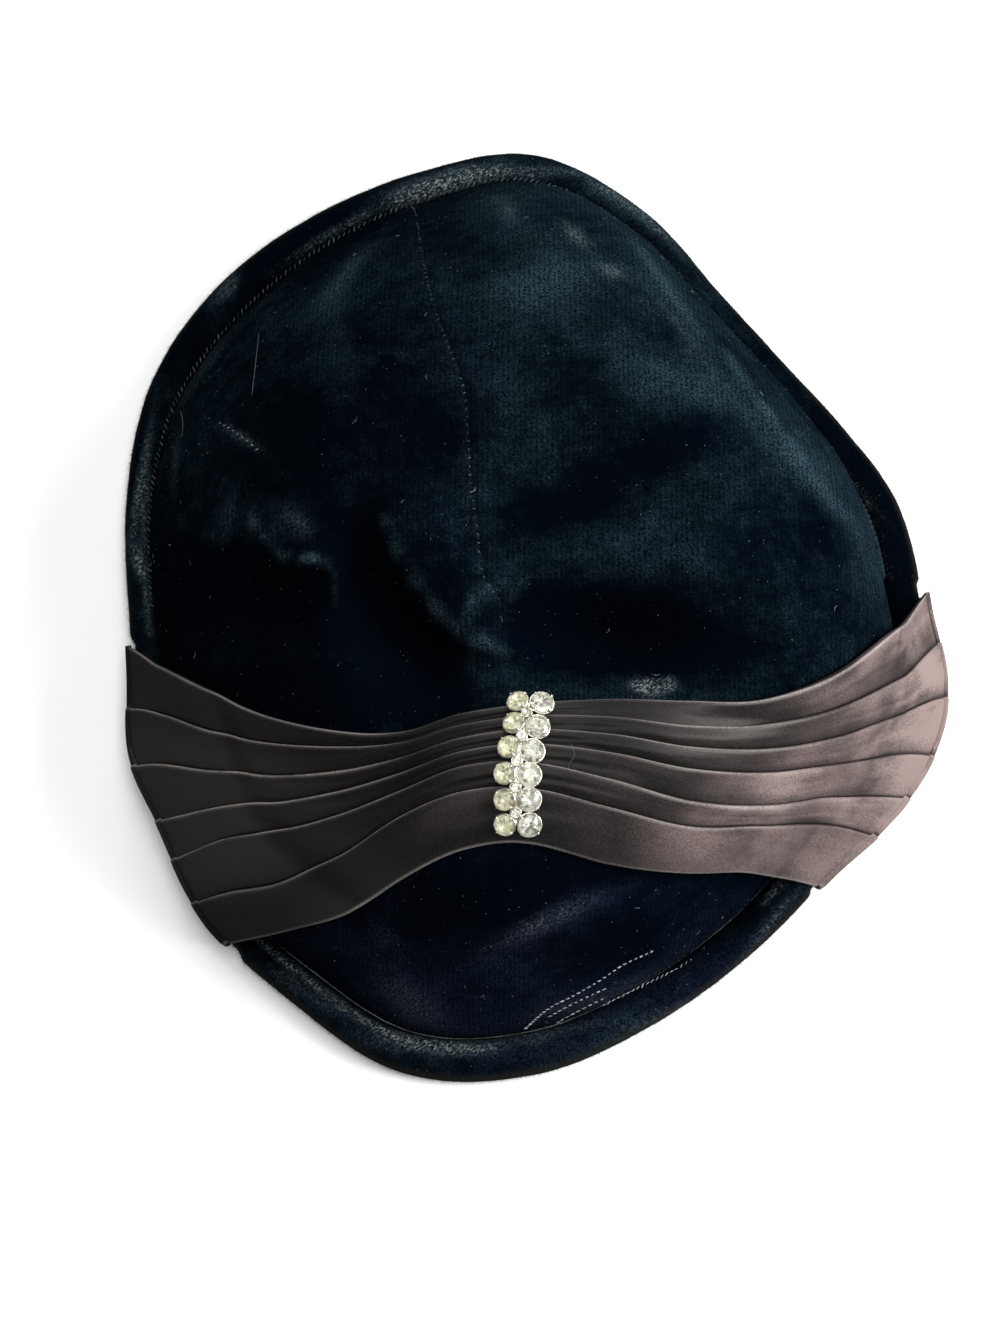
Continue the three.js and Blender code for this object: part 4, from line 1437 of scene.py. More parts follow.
@dataclass
class SatinBand:
    """Six overlapping satin pleats across the front, their ends wrapped under the edge."""

    form: HatForm
    lift: float = 1.15
    thin: float = 1.0
    side_gap: float = 0.75
    past_rim: float = 110
    swell_reach: float = 18
    bridge_slope: float = 1.6
    bridge_round: float = 3
    bridge_drop: float = 90
    bridge_blend: float = 4
    pleats: int = 6
    steps: int = 250
    # where and how strongly each pleat's painted sheen starts, from the back pleat to the front
    sheen_starts: tuple[float, ...] = (44, 40, 35, 25, 21, 15)
    sheen_strengths: tuple[float, ...] = (0.86, 0.94, 1.0, 0.9, 0.76, 0.54)
    pleat_cloth: float = 12
    thinnest: float = 0.25
    beside: float = 0.2
    flat: tuple[float, float] = (0.30, 0.075)
    flat_area: float = 0.0165

    @property
    def count(self) -> int:
        """How many points each line of the band has."""
        return self.steps + 1 + 2 * len(WRAP)

    def edge_y(self, edge: Array, x: Array) -> Array:
        """Reads the table of the pleats' edges.

        Args:
            edge: the edges' numbers, from 0 at the back.
            x: places on the plan.

        Returns:
            Where those edges lie at each x.
        """
        columns = np.array([row.x for row in PLEAT_EDGES], float)
        edges = np.array([row.edges for row in PLEAT_EDGES])
        last = len(columns) - 1
        row = np.clip(np.searchsorted(columns, x, side="left") - 1, 0, last - 1)
        share = (x - columns[row]) / (columns[row + 1] - columns[row])
        near = [edges[np.clip(row + offset, 0, last), edge] for offset in (-1, 0, 1, 2)]
        straight = near[1] + (near[2] - near[1]) * share
        return np.where((share < 0) | (share > 1), straight, smooth_between(*near, share))

    def place_y(self, across: Array, shift: float, x: Array) -> Array:
        """Where a place across the pleats lies.

        Args:
            across: the place, from 0 at the back to 6 at the front.
            shift: how far it is moved towards the front, in millimetres of cloth.
            x: places on the plan.

        Returns:
            Its y at each x.
        """
        edge = int(np.clip(math.floor(across + 1e-9), 0, self.pleats - 1))
        width = self.edge_y(np.array(edge), x) - self.edge_y(np.array(edge + 1), x)
        across = across + np.minimum(np.abs(shift) / width, 0.3) * math.copysign(1, shift)
        edge = np.clip(np.floor(across), 0, self.pleats - 1).astype(int)
        back, front = self.edge_y(edge, x), self.edge_y(edge + 1, x)
        return back + (front - back) * (across - edge)

    def reach(self, angle: Array) -> Array:
        """How far out the band goes round the roll."""
        return self.form.rim("reach", angle) - self.form.squeeze + self.side_gap + self.swell(angle)

    @staticmethod
    def swell(angle: Array) -> Array:
        """How far the band's ends stand off the roll."""
        total = np.zeros_like(angle)
        for swell in SWELLS:
            away = (np.degrees(angle) - swell.bearing + 180) % 360 - 180
            total = total + swell.stand * bell(away, swell.width)
        return total

    def height(self, x: Array, y: Array) -> Array:
        """The height of the band's inner face, which runs straight from the crown to the rim.

        Args:
            x, y: places on the plan.

        Returns:
            The height at each place.
        """
        angle = np.arctan2(y, x)
        reach = self.reach(angle)
        inward = np.maximum(reach - np.hypot(x, y), 0)
        inward = inward - self.swell(angle) * smoothstep(inward, 0, self.swell_reach)
        share = 1 - inward / reach
        side = self.form.roll_height / 2 + 0.5
        slope = np.sqrt((self.bridge_slope * inward) ** 2 + 2 * self.bridge_round * inward)
        bridge = side + slope - self.bridge_drop * (1 - smoothstep(share, 0.5, 0.8))
        lift = np.minimum(self.lift / self.form.normal(x, y)[..., 2], 3 * self.lift)
        crown = self.form.height(x, y) + lift
        soft = self.bridge_blend * (1 - smoothstep(share, 0.9, 1)) + 0.05
        larger, smaller = np.maximum(bridge, crown), np.minimum(bridge, crown)
        return larger + soft * np.log1p(np.exp((smaller - larger) / soft))

    def end_x(self, across: float, shift: float, side: int) -> float:
        """Where a line along the band meets the rim.

        Args:
            across: the line's place across the pleats.
            shift: how far it is moved towards the front.
            side: -1 for the left, 1 for the right.

        Returns:
            The x of that point.
        """

        def within(x: float) -> bool:
            """Whether the line is still inside the rim."""
            y = self.place_y(across, shift, np.array(x))
            return bool(np.hypot(x, y) < self.reach(np.arctan2(y, x)))

        return last_place(0.0, side * self.past_rim, within)

    def path(self, across: float, shift: float = 0.0) -> Array:
        """The inner face along one line of the band, from under the left edge to under the right.

        Args:
            across: the line's place across the pleats.
            shift: how far it is moved towards the front.

        Returns:
            Its points, one a row.
        """
        ends = []
        for side in (-1, 1):
            x = np.array(self.end_x(across, shift, side))
            angle = np.arctan2(self.place_y(across, shift, x), x)
            wrap = [on_radius(angle, self.reach(angle) - point.inward, point.up) for point in WRAP]
            ends.append((float(x), np.array(wrap)))
        (left, left_wrap), (right, right_wrap) = ends
        share = 0.5 - 0.5 * np.cos(np.linspace(0, math.pi, self.steps + 1))
        share = 0.5 * share + 0.5 * np.linspace(0, 1, self.steps + 1)
        x = left + (right - left) * share
        y = self.place_y(across, shift, x)
        over = np.stack([x, y, self.height(x, y)], axis=-1)
        return np.vstack([left_wrap[::-1], over, right_wrap])

    def wrinkles(self, x: Array, pleat: int, share: float) -> Array:
        """Soft dents in the satin, and gathers where the clasp pinches it.

        Args:
            x: places along a line of the band.
            pleat: the pleat's number.
            share: the line's share of the pleat's width.

        Returns:
            How far the cloth stands out at each place.
        """
        middle = np.sin(math.pi * np.clip(share, 0, 1))
        depth = 0.22 + 0.95 * smoothstep(x, 4, 40)
        drape = soft_noise(x + 40 * pleat, x * 0 + share * 6, 15, 40 + pleat) * depth
        small = soft_noise(x - 15 * share, x * 0 + share * 5, 6, 60 + pleat) * 0.14
        pinch = bell(x + 3, 16)
        gathers = pinch * 0.28 * np.sin(2.2 * math.pi * (share * 2 + 0.02 * x + 0.37 * pleat))
        return (drape * (1 - 0.6 * pinch) + small + gathers) * middle

    def sheen_paint(self, line: Array, pleat: int, share: float) -> Array:
        """How pale the satin is: a painted sheen on the right, with painted shade towards the next fold.

        Args:
            line: the points of a line of the band.
            pleat: the pleat's number.
            share: the line's share of the pleat's width.

        Returns:
            A number for each point.
        """
        along, last = line[:, 0], pleat == self.pleats - 1
        x = along + 7 * soft_noise(along, line[:, 1], 16, 71 + pleat)
        start = self.sheen_starts[pleat]
        pale = 0.1 * smoothstep(x, start - 16, start) + 0.9 * smoothstep(x, start, start + 24)
        # painted shade where a pleat runs under the next pleat's fold
        fold_shade = smoothstep(share, 0.4, 0.9) * (0.6 + 0.4 * soft_noise(along, along * 0, 12, 80 + pleat))
        fold_shade = np.maximum(0.85 * fold_shade, smoothstep(share, 0.85, 0.95)) * (not last)
        strength = self.sheen_strengths[pleat] * (1 + 0.5 * smoothstep(along, 64, 86))
        # a painted highlight on the front pleat just left of the clasp
        if last:
            pale = pale + 0.15 * bell(x + 12, 7) * (1 - smoothstep(share, 0.2, 0.8))
        return pale * (1 - 0.96 * fold_shade) * (1 + 0.55 * soft_noise(x, line[:, 1], 13, 72)) * strength

    def upper_lines(self) -> list[BandLine]:
        """The lines of the pleats' upper face, from the back to the front."""
        found = []
        station = np.arange(self.count)
        from_end = np.minimum(station, self.count - 1 - station)
        fade = np.clip((from_end - len(WRAP) + 2) / 3, 0, 1)
        fade = fade * (0.4 + 0.6 * smoothstep(from_end, len(WRAP), 30))
        for pleat in range(self.pleats):
            for number, (share, shift, height) in enumerate(PLEAT_SECTION):
                height = self.thinnest if pleat == number == 0 else height
                middle = self.path(pleat + share, shift)
                back, front = (self.path(pleat + share, shift + side) for side in (-self.beside, self.beside))
                out = unit(np.cross(np.gradient(middle, axis=0), back - front))
                crumple = self.wrinkles(middle[:, 0], pleat, share + 0.1 * shift)
                lifted = self.thin + (height - self.thin + crumple) * fade
                points = middle + out * np.maximum(lifted, self.thinnest)[:, None]
                plain = smoothstep(middle[:, 0], 34, 60) * (pleat > 0)
                # painted highlight along each pleat's folded edge, fading out on the right
                lip = bell(height - 1.62, 0.2) * (number < 6) * (1 - 0.9 * plain)
                place = (pleat + share) * self.pleat_cloth + shift
                found.append(BandLine(points, place, lip, self.sheen_paint(middle, pleat, share)))
        return found

    def hem_lines(self) -> list[BandLine]:
        """The two lines of the rounded front hem."""
        hem = self.path(self.pleats)
        out = unit(np.cross(np.gradient(hem, axis=0), self.path(self.pleats - 0.03) - hem))
        found = []
        for height, inset in ((0.85, 0.0), (0.45, 0.28)):
            edge = self.path(self.pleats, inset) if inset else hem
            place = self.pleats * self.pleat_cloth + inset
            rubbed = self.sheen_paint(edge, self.pleats - 1, 1.0)
            # the hem's edge gets half the painted highlight
            found.append(BandLine(edge + out * height, place, np.full(self.count, 0.5), rubbed))
        return found

    def under_lines(self) -> list[BandLine]:
        """The lines of the inner face, from the front to the back."""
        plain = np.zeros(self.count)
        halves = range(2 * self.pleats, -1, -1)
        return [BandLine(self.path(half / 2), half * self.pleat_cloth / 2, plain, plain) for half in halves]

    def build(self, satin: Finish) -> Piece:
        """Makes the band.

        Args:
            satin: its finish.

        Returns:
            The band's object.
        """
        cloth = Cloth("pleated_satin")
        lines = [*self.upper_lines(), *self.hem_lines(), *self.under_lines()]
        rows = [cloth.row(line.points) for line in lines]
        cloth.strips(rows + rows[:1], closed=False)
        cloth.face(np.array([row[0] for row in rows]))
        cloth.face(np.array([row[-1] for row in rows]), turned=True)
        x, y, _ = cloth.whole().T
        places = np.array([line.across for line in lines])
        across = np.repeat(places, self.count)
        # painted shade: darkest just left of the clasp, over the back and front pleats towards the left end,
        # and right of the clasp
        dark = 0.75 * bell(x + 23, 11) * (0.1 + 0.9 * smoothstep(y, -58, -47))
        outer = 0.55 * smoothstep(across, 50, 66) + 0.35 * (1 - smoothstep(across, 8, 20))
        cloth.paint(
            lip=np.concatenate([line.lip for line in lines]),
            rubbed=np.concatenate([line.rubbed for line in lines]),
            hollow=dark + outer * smoothstep(-x, 30, 55) + 0.4 * bell(x - 14, 12),
        )
        made = cloth.made(satin)
        self.lay_cloth_map(made.data, cloth.whole(), places)
        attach(made, BODY)
        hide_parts("satin_band")
        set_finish(made, "satin")
        return made

    def lay_cloth_map(self, mesh: bpy.types.Mesh, points: Array, across: Array) -> None:
        """Gives the band a UV map in millimetres of cloth.

        Args:
            mesh: the band's mesh.
            points: its points, line after line.
            across: how far across the cloth each line lies.
        """
        corners = np.empty(len(mesh.loops), int)
        mesh.loops.foreach_get("vertex_index", corners)
        points = points.reshape(-1, self.count, 3)
        steps = np.linalg.norm(np.diff(points, axis=1, prepend=points[:, :1]), axis=2)
        run = np.cumsum(steps, axis=1)
        place = np.stack([run, np.broadcast_to(across[:, None], run.shape)], axis=-1).reshape(-1, 2)
        mesh.uv_layers.new(name="cloth").data.foreach_set("uv", place[corners].astype(np.float32).ravel())


# The clasp


class StoneSize(NamedTuple):
    """A size of stone: radius, tilt in degrees, depth of its cup and place right of the middle line."""

    radius: float
    tilt: float
    cup: float
    offset: float


class Stone(Enum):
    """The three sizes of stone in the clasp."""

    LARGE = StoneSize(2.3, 6, 1.9, 2.55)
    SMALL = StoneSize(2.05, -20, 1.4, -2.55)
    ACCENT = StoneSize(0.95, -5, 1.1, -0.2)


@dataclass(frozen=True)
class Seat:
    """A stone's place on the clasp: x to the side, y along the row and z out of the cup."""

    node: str
    kind: Stone
    frame: Matrix


@dataclass
class Clasp:
    """Two rows of round stones in a soldered setting that runs over the band."""

    form: HatForm
    pitch: float = 5.1
    rows: int = 6
    front: float = -58.6
    rise: float = 5.95
    claws: int = 4
    claw_size: float = 0.85
    facet_seed: int = 5
    cup_sides: int = 24
    spine_half: float = 1.0
    spine_top: float = 0.9
    spine_bottom: float = 1.75

    def ridge_x(self, y: float) -> float:
        """Where the clasp's middle line lies at y."""
        return -4.4 + 2.6 * float(smoothstep(y, -52, -36))

    def ridge(self, y: float) -> tuple[Array, Array, Array, Array]:
        """The clasp's middle line at y: its point, and the directions along, right and outward."""

        def place(at: float) -> Array:
            """The middle line's point at one y."""
            return self.form.above(np.array([self.ridge_x(at)]), np.array([at]), self.rise)[0]

        along = unit(place(y + 0.5) - place(y - 0.5))
        right = unit(np.cross(along, self.form.normal(np.array([self.ridge_x(y)]), np.array([y]))[0]))
        return place(y), along, right, np.cross(right, along)

    def row_places(self) -> list[float]:
        """The y of each row of stones, from the back to the front, a pitch apart along the middle line."""

        def near(y: float) -> bool:
            """Whether y is less than a pitch from the last row."""
            return np.linalg.norm(self.ridge(y)[0] - self.ridge(found[-1])[0]) < self.pitch

        found = [self.front]
        while len(found) < self.rows:
            found.append(last_place(found[-1], found[-1] + 2 * self.pitch, near))
        return found[::-1]

    def seat(self, kind: Stone, number: int, y: float) -> Seat:
        """Works out one stone's place.

        Args:
            kind: its size.
            number: its number in its row, from the back.
            y: where along the clasp it lies.

        Returns:
            Its seat.
        """
        origin, along, right, out = (Vector(value) for value in self.ridge(y))
        turn = Matrix.Rotation(math.radians(kind.value.tilt), 3, along)
        sideways, axis = turn @ right, turn @ out
        frame = Matrix((sideways, along, axis)).transposed().to_4x4()
        frame.translation = origin + sideways * kind.value.offset
        return Seat(f"stone_{kind.name.lower()}_{number}", kind, frame)

    def seats(self) -> list[Seat]:
        """All the stones' places."""
        places = self.row_places()
        found = []
        for number, y in enumerate(places, 1):
            found += [self.seat(Stone.LARGE, number, y), self.seat(Stone.SMALL, number, y)]
        for number, (back, front) in enumerate(zip(places, places[1:]), 1):
            found.append(self.seat(Stone.ACCENT, number, (back + front) / 2))
        return found

    def cup(self, kind: Stone, metal: Finish) -> Piece:
        """Turns a round cup with a beaded lip.

        Args:
            kind: the size of its stone.
            metal: its finish.

        Returns:
            The cup's object.
        """
        radius, deep = kind.value.radius, kind.value.cup
        cloth = Cloth(f"cup_{kind.name.lower()}")
        inside = ((radius * 0.55, -deep + 0.32), (radius - 0.10, -0.42), (radius - 0.06, -0.20))
        lip = ((radius + 0.05, -0.10), (radius + 0.20, -0.14), (radius + 0.26, -0.34), (radius + 0.16, -0.52))
        profile = (*inside, *lip, (radius * 0.74, -deep + 0.1), (radius * 0.60, -deep))
        rings = [cloth.row(on_radius(bearings(self.cup_sides), out, z)) for out, z in profile]
        cloth.fan(cloth.row(np.array([0, 0, -deep + 0.3]))[0], rings[0])
        cloth.strips(rings)
        cloth.fan(cloth.row(np.array([0, 0, -deep]))[0], rings[-1], turned=True)
        return cloth.made(metal)

    def claw(self, metal: Finish) -> Piece:
        """A claw that leans over the stone's girdle and ends in a bead; x points away from the stone."""
        cloth = Cloth("claw")
        foot = ((0.12, 0, -0.75), (0.2, 0, -0.35), (0.2, 0, 0.0))
        line = np.array([*foot, (0.1, 0, 0.28), (-0.12, 0, 0.46), (-0.3, 0, 0.5)])
        radii = np.array([0.17, 0.2, 0.21, 0.24, 0.27, 0.16])
        tube(cloth, smooth_path(line, 2), np.interp(np.linspace(0, 5, 11), np.arange(6), radii), 8)
        return cloth.made(metal)

    def bar(self, metal: Finish) -> Piece:
        """The soldered bar under the cups."""
        cloth = Cloth("clasp_bar")
        places = self.row_places()
        top, bottom = self.spine_top, self.spine_bottom
        rows = []
        for y in np.linspace(places[0], places[-1], 25):
            origin, _, right, out = self.ridge(float(y))
            corners = ((-1, top), (1, top), (1, bottom), (-1, bottom))
            section = [origin + right * side * self.spine_half - out * low for side, low in corners]
            rows.append(cloth.row(np.array(section)))
        cloth.strips(rows, turned=True)
        cloth.face(rows[0])
        cloth.face(rows[-1], turned=True)
        return cloth.made(metal)

    def build_setting(self, metal: Finish) -> Piece:
        """Makes the setting: bar, cups and claws in one piece of metal.

        Args:
            metal: its finish.

        Returns:
            The setting's object.
        """
        tree = SeatTree()
        seats = self.seats()
        parts = [self.bar(metal)]
        for kind in Stone:
            frames = [seat.frame for seat in seats if seat.kind is kind]
            parts.append(self.repeated(tree, f"cups_{kind.name.lower()}", self.cup(kind, metal), frames, 1.0))
        frames = []
        for seat in seats:
            if seat.kind is Stone.ACCENT:
                continue
            beside = Matrix.Translation((seat.kind.value.radius + 0.02, 0, 0))
            for number in range(self.claws):
                spin = Matrix.Rotation(math.radians(45 + 360 / self.claws * number), 4, "Z")
                frames.append(seat.frame @ spin @ beside)
        parts.append(self.repeated(tree, "claws", self.claw(metal), frames, self.claw_size))
        whole = joined("clasp_metal_work", parts)
        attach(whole, BODY)
        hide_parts("clasp_setting")
        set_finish(whole, "clasp_metal")
        return whole

    @staticmethod
    def repeated(tree: SeatTree, name: str, piece: Piece, frames: Sequence[Matrix], size: float) -> Piece:
        """Sets a piece in each frame and takes the single one away.

        Args:
            tree: the tree that sets it.
            name: the result's name.
            piece: what is repeated, in its finish.
            frames: the places.
            size: its size there.

        Returns:
            All of them as one object.
        """
        turns = np.array([frame.to_euler() for frame in frames])
        sizes = np.full((len(frames), 3), size)
        places = np.array([frame.translation for frame in frames])
        points = seed_points(f"{name}_places", places, {"turn": turns, "size": sizes})
        made = tree.grown(name, points, {"Piece": piece, "Finish": piece.data.materials[0]})
        drop(piece, points)
        return made

    def build_stones(self, finishes: dict[Stone, tuple[Finish, Finish]]) -> list[Piece]:
        """Cuts each stone: a clear faceted top on a foiled point.

        Args:
            finishes: the glass and the foil of each size.

        Returns:
            The stones.
        """
        chance = np.random.default_rng(17)
        found = []
        for seat in self.seats():
            made = self.cut_stone(seat, chance.uniform(0, 0.7), *finishes[seat.kind])
            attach(made, BODY)
            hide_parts(seat.node)
            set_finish(made, "rhinestone")
            found.append(made)
        return found

    def cut_stone(self, seat: Seat, spin: float, glass: Finish, foil: Finish) -> Piece:
        """Makes one stone.

        Args:
            seat: its place.
            spin: how far it is turned in its cup, in radians.
            glass: the finish of its top.
            foil: the finish of its back.

        Returns:
            The stone's object.
        """
        radius = seat.kind.value.radius
        eighth = bearings(8) + spin
        half = eighth + math.pi / 8
        girdle = bearings(16) + spin
        depth = seat.kind.value.cup - 0.75
        corners = np.vstack([
            on_radius(eighth, radius * 0.56, radius * 0.30),  # the flat top
            on_radius(half, radius * 0.80, radius * 0.185),
            on_radius(girdle, radius, 0.09),  # the girdle's two edges
            on_radius(girdle, radius, 0.0),
            on_radius(girdle, radius * 0.66, -depth * 0.42),
            on_radius(eighth, radius * 0.34, -depth * 0.76),
            on_radius(np.zeros(1), 0.0, -depth),  # the point
        ])
        mesh = bpy.data.meshes.new(seat.node.replace("stone", "paste"))
        cut = bmesh.new()
        for corner in corners:
            cut.verts.new(corner)
        bmesh.ops.convex_hull(cut, input=cut.verts)
        bmesh.ops.dissolve_limit(cut, angle_limit=math.radians(1.5), verts=cut.verts, edges=cut.edges)
        bmesh.ops.recalc_face_normals(cut, faces=cut.faces)
        for face in cut.faces:
            face.material_index = 1 if face.normal.z < -0.05 else 0
        cut.transform(seat.frame)
        bmesh.ops.scale(cut, vec=(METRES, METRES, METRES), verts=cut.verts)
        cut.to_mesh(mesh)
        cut.free()
        chance = np.random.default_rng(self.facet_seed + int(1000 * spin))
        # a number for each face; the foil paints the highest ones dark, a painted reflection
        keep_numbers(mesh, "facet", chance.uniform(0, 1, len(mesh.polygons)) ** 2, "FACE")
        mesh.materials.append(glass)
        mesh.materials.append(foil)
        return added(mesh.name, mesh)


def joined(name: str, parts: Sequence[Piece]) -> Piece:
    """Joins pieces into one object of this name."""
    with bpy.context.temp_override(active_object=parts[0], selected_editable_objects=list(parts)):
        bpy.ops.object.join()
    parts[0].name = name
    parts[0].data.name = name
    return parts[0]


# Stitches, cord and fluff


@dataclass
class Trimmings:
    """Stitches, the seam cord, worn threads, hairs, pile, and the lint that velvet picks up."""

    form: HatForm
    view: PhotoView
    tree: StitchTree
    stitch_pitch: float = 1.35
    stitch_length: float = 1.25
    cord_radius: float = 0.95
    fibre_density: float = 3.0
    fibre_length: float = 0.6
    fibre_radius: float = 0.045
    cord_twist: float = 2.6
    crossed_rows: int = 3

    CORD: Pixels = (
        (752, 335), (768, 356), (793, 391), (818, 427), (846, 463), (875, 499), (900, 531), (914, 577)
    )
    WORN: tuple[Pixels, ...] = (
        ((526, 1028), (548, 1009), (575, 995), (600, 981), (625, 965), (652, 952)),
        ((550, 1016), (574, 1003), (604, 989)),
        ((558, 1022), (580, 1010), (602, 999)),
        ((604, 1005), (640, 987), (680, 967), (737, 935)),
        ((622, 1009), (655, 994), (692, 975), (726, 958)),
        ((222, 424), (240, 435), (258, 450)),
    )
    HAIRS: tuple[Pixels, ...] = (
        ((570, 745), (574, 757), (568, 768), (572, 775)),
        ((548, 690), (553, 696), (552, 703)),
        ((259, 334), (256, 362), (252, 396)),
        ((181, 412), (183, 424), (182, 437)),
    )

    def sewn(
        self, name: str, points: Array, out: Array, thread: Finish, size: tuple[float, float], **values: float
    ) -> Piece:
        """Sews stitches along a line.

        Args:
            name: the new piece's name.
            points: the line's points.
            out: the cloth's outward direction at each.
            thread: the stitches' finish.
            size: a stitch's length and thickness.
            **values: Pitch in millimetres, Slant, Uneven and Seed.

        Returns:
            The stitches as one piece.
        """
        length, thick = size
        cloth = Cloth("stitch")
        share = np.linspace(-1, 1, 6)
        middle = np.stack([share * length / 2, share * 0, thick * 0.5 * (1 - share**2)], axis=1)
        tube(cloth, middle, thick * np.sqrt(np.maximum(1.05 - share**2, 0.02)), 6)
        stitch = cloth.made(thread)
        line = seed_points("stitch_line", points, {"out": out})
        values["Pitch"] *= METRES
        made = self.tree.grown(name, line, {"Stitch": stitch, "Finish": thread, **values})
        drop(line, stitch)
        return made

    def edge_stitches(self, thread: Finish) -> Piece:
        """The slanted stitches along the roll's inner side, where they show behind the band."""
        angle = np.radians(np.linspace(5, 181, 400))
        points = on_radius(angle, self.form.roll_inner(angle) + 0.55, self.form.roll_height * 0.80)
        out = unit(on_radius(angle, -0.35 * np.ones_like(angle), 1.0))
        values = {"Pitch": self.stitch_pitch, "Slant": 0.7, "Uneven": 0.3, "Seed": 4}
        made = self.sewn("edge_stitches", points, out, thread, (self.stitch_length, 0.12), **values)
        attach(made, BODY)
        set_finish(made, "roll_velvet")
        return made

    def seam_stitches(self, crown: Crown, thread: Finish) -> Piece:
        """The small stitches that show as dots down the crown's back seam."""
        x, y = crown.seam[:, 0], crown.seam[:, 1]
        points = self.form.above(x, y, crown.relief(x, y) + 0.02)
        values = {"Pitch": 1.75, "Slant": 0.8, "Uneven": 1.1, "Seed": 9}
        made = self.sewn("seam_stitches", points, self.form.normal(x, y), thread, (0.7, 0.085), **values)
        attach(made, BODY)
        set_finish(made, "velvet")
        return made

    def worn_threads(self, crown: Crown, thread: Finish) -> Piece:
        """Ground threads where the pile has worn away: three crossed rows, and plain lines beside them.

        Args:
            crown: the crown that they lie on.
            thread: their finish.

        Returns:
            The threads as one piece.
        """
        parts = []
        for number, places in enumerate(self.WORN):
            line = smooth_path(self.view.onto(places, self.form.height), 8)
            x, y = line[:, 0], line[:, 1]
            points = self.form.above(x, y, crown.relief(x, y) + 0.04)
            crossed = number < self.crossed_rows
            pitch = 2.3 if number == len(self.WORN) - 1 else 1.3 if crossed else 1.15
            for slant in (-0.75, 0.75) if crossed else (0.3,):
                values = {"Pitch": pitch, "Slant": slant, "Uneven": 0.45, "Seed": 12 + number}
                parts.append(self.sewn("worn", points, self.form.normal(x, y), thread, (1.0, 0.07), **values))
        made = joined("worn_threads", parts)
        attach(made, BODY)
        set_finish(made, "velvet")
        return made

    def seam_cord(self, velvet: Finish) -> Piece:
        """The twisted cord that shows in the groove at the right of the back, in this finish."""
        level = self.form.roll_height - 0.6
        cloth = Cloth("seam_cord")
        line = smooth_path(self.view.onto(self.CORD, level_plane(level)), 24)
        angle = np.arctan2(line[:, 1], line[:, 0])
        line = on_radius(angle, self.form.roll_inner(angle) + 0.7, level)
        ends = np.sin(math.pi * np.linspace(0, 1, len(line))) ** 0.3

        def strands(run: float, around: Array) -> Array:
            """The two strands that wind round each other."""
            return 1 + 0.24 * np.cos(2 * (around - 2 * math.pi * run / self.cord_twist))

        tube(cloth, line, self.cord_radius * np.maximum(ends, 0.15), 14, strands)
        cloth.paint(seam_gap=NO_SEAM, crush=0.16, nap=0.8)
        made = cloth.made(velvet)
        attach(made, BODY)
        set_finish(made, "roll_velvet")
        return made

    def hairs(self, fluff: Finish) -> Piece:
        """The few single hairs that the photograph shows, the first one on the satin."""
        cloth = Cloth("stray_hairs")

        def top(x: Array, y: Array) -> Array:
            """Just over the crown."""
            return self.form.height(x, y) + 1.2

        for number, places in enumerate(self.HAIRS):
            line = smooth_path(self.view.onto(places, top), 5)
            line[:, 2] += 0.4 if number else 2.3
            tube(cloth, line, 0.03, 5)
        made = cloth.made(fluff)
        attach(made, BODY)
        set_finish(made, "velvet")
        return made

    def pile(self, tree: FluffTree, host: Piece, silk: Finish) -> Piece:
        """Short upright fibres over the roll, so that its outline is soft.

        Args:
            tree: the tree that strews them.
            host: the roll.
            silk: their finish.

        Returns:
            The fibres as one piece.
        """
        fibre = Cloth("pile_fibre")
        foot = fibre.row(on_radius(bearings(3), self.fibre_radius, -0.1))
        tip = fibre.row(np.array([0.35, 0, self.fibre_length]))
        fibre.fan(tip[0], foot)
        fibre.face(foot, turned=True)
        shape = fibre.made(silk)
        sizes = {"Smallest": 0.55, "Largest": 1.25}
        values = {"Bit": shape, "Density": self.fibre_density / METRES**2, **sizes, "Seed": 3, "Finish": silk}
        made = tree.grown("roll_pile", host, values)
        drop(shape)
        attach(made, BODY)
        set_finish(made, host["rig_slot"])
        return made

    def lint(self, tree: FluffTree, hosts: Sequence[Piece], fluff: Finish) -> Piece:
        """Strews specks and short fibres over the velvet.

        Args:
            tree: the tree that strews them.
            hosts: the velvet pieces.
            fluff: the finish.

        Returns:
            The fluff as one piece.
        """
        speck, fibre = Cloth("speck"), Cloth("fibre")
        short = np.array([(-0.12, 0, 0.02), (0, 0.02, 0.09), (0.12, 0, 0.03)])
        tube(speck, short, np.array([0.04, 0.1, 0.04]), 4)
        bent = np.array([(-0.9, 0, 0.1), (-0.2, 0.3, 0.25), (0.4, 0.1, 0.2), (0.9, -0.3, 0.1)])
        tube(fibre, smooth_path(bent, 3), 0.035, 4)
        shapes = [speck.made(fluff), fibre.made(fluff)]
        parts = []
        for number, host in enumerate(hosts):
            for shape, density, small, large in zip(shapes, (36000.0, 1100.0), (0.2, 0.3), (0.7, 0.9)):
                values = {"Bit": shape, "Density": density, "Smallest": small, "Largest": large}
                parts.append(tree.grown("lint", host, {**values, "Seed": 5 + number, "Finish": fluff}))
        drop(*shapes)
        made = joined("lint", parts)
        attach(made, BODY)
        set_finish(made, "velvet")
        return made


# The studio


@dataclass(frozen=True)
class SoftBox:
    """A square soft light that looks at the hat, in degrees, metres and watts."""

    name: str
    bearing: float
    elevation: float
    distance: float
    size: float
    watts: float

    def build(self) -> None:
        """Adds the light."""
        data = bpy.data.lights.new(self.name, "AREA")
        data.shape = "SQUARE"
        data.size = self.size
        data.energy = self.watts
        lamp = added(self.name, data)
        angle, rise = math.radians(self.bearing), math.radians(self.elevation)
        away = Vector((math.cos(angle) * math.cos(rise), math.sin(angle) * math.cos(rise), math.sin(rise)))
        lamp.location = away * self.distance
        lamp.rotation_euler = away.to_track_quat("Z", "Y").to_euler()


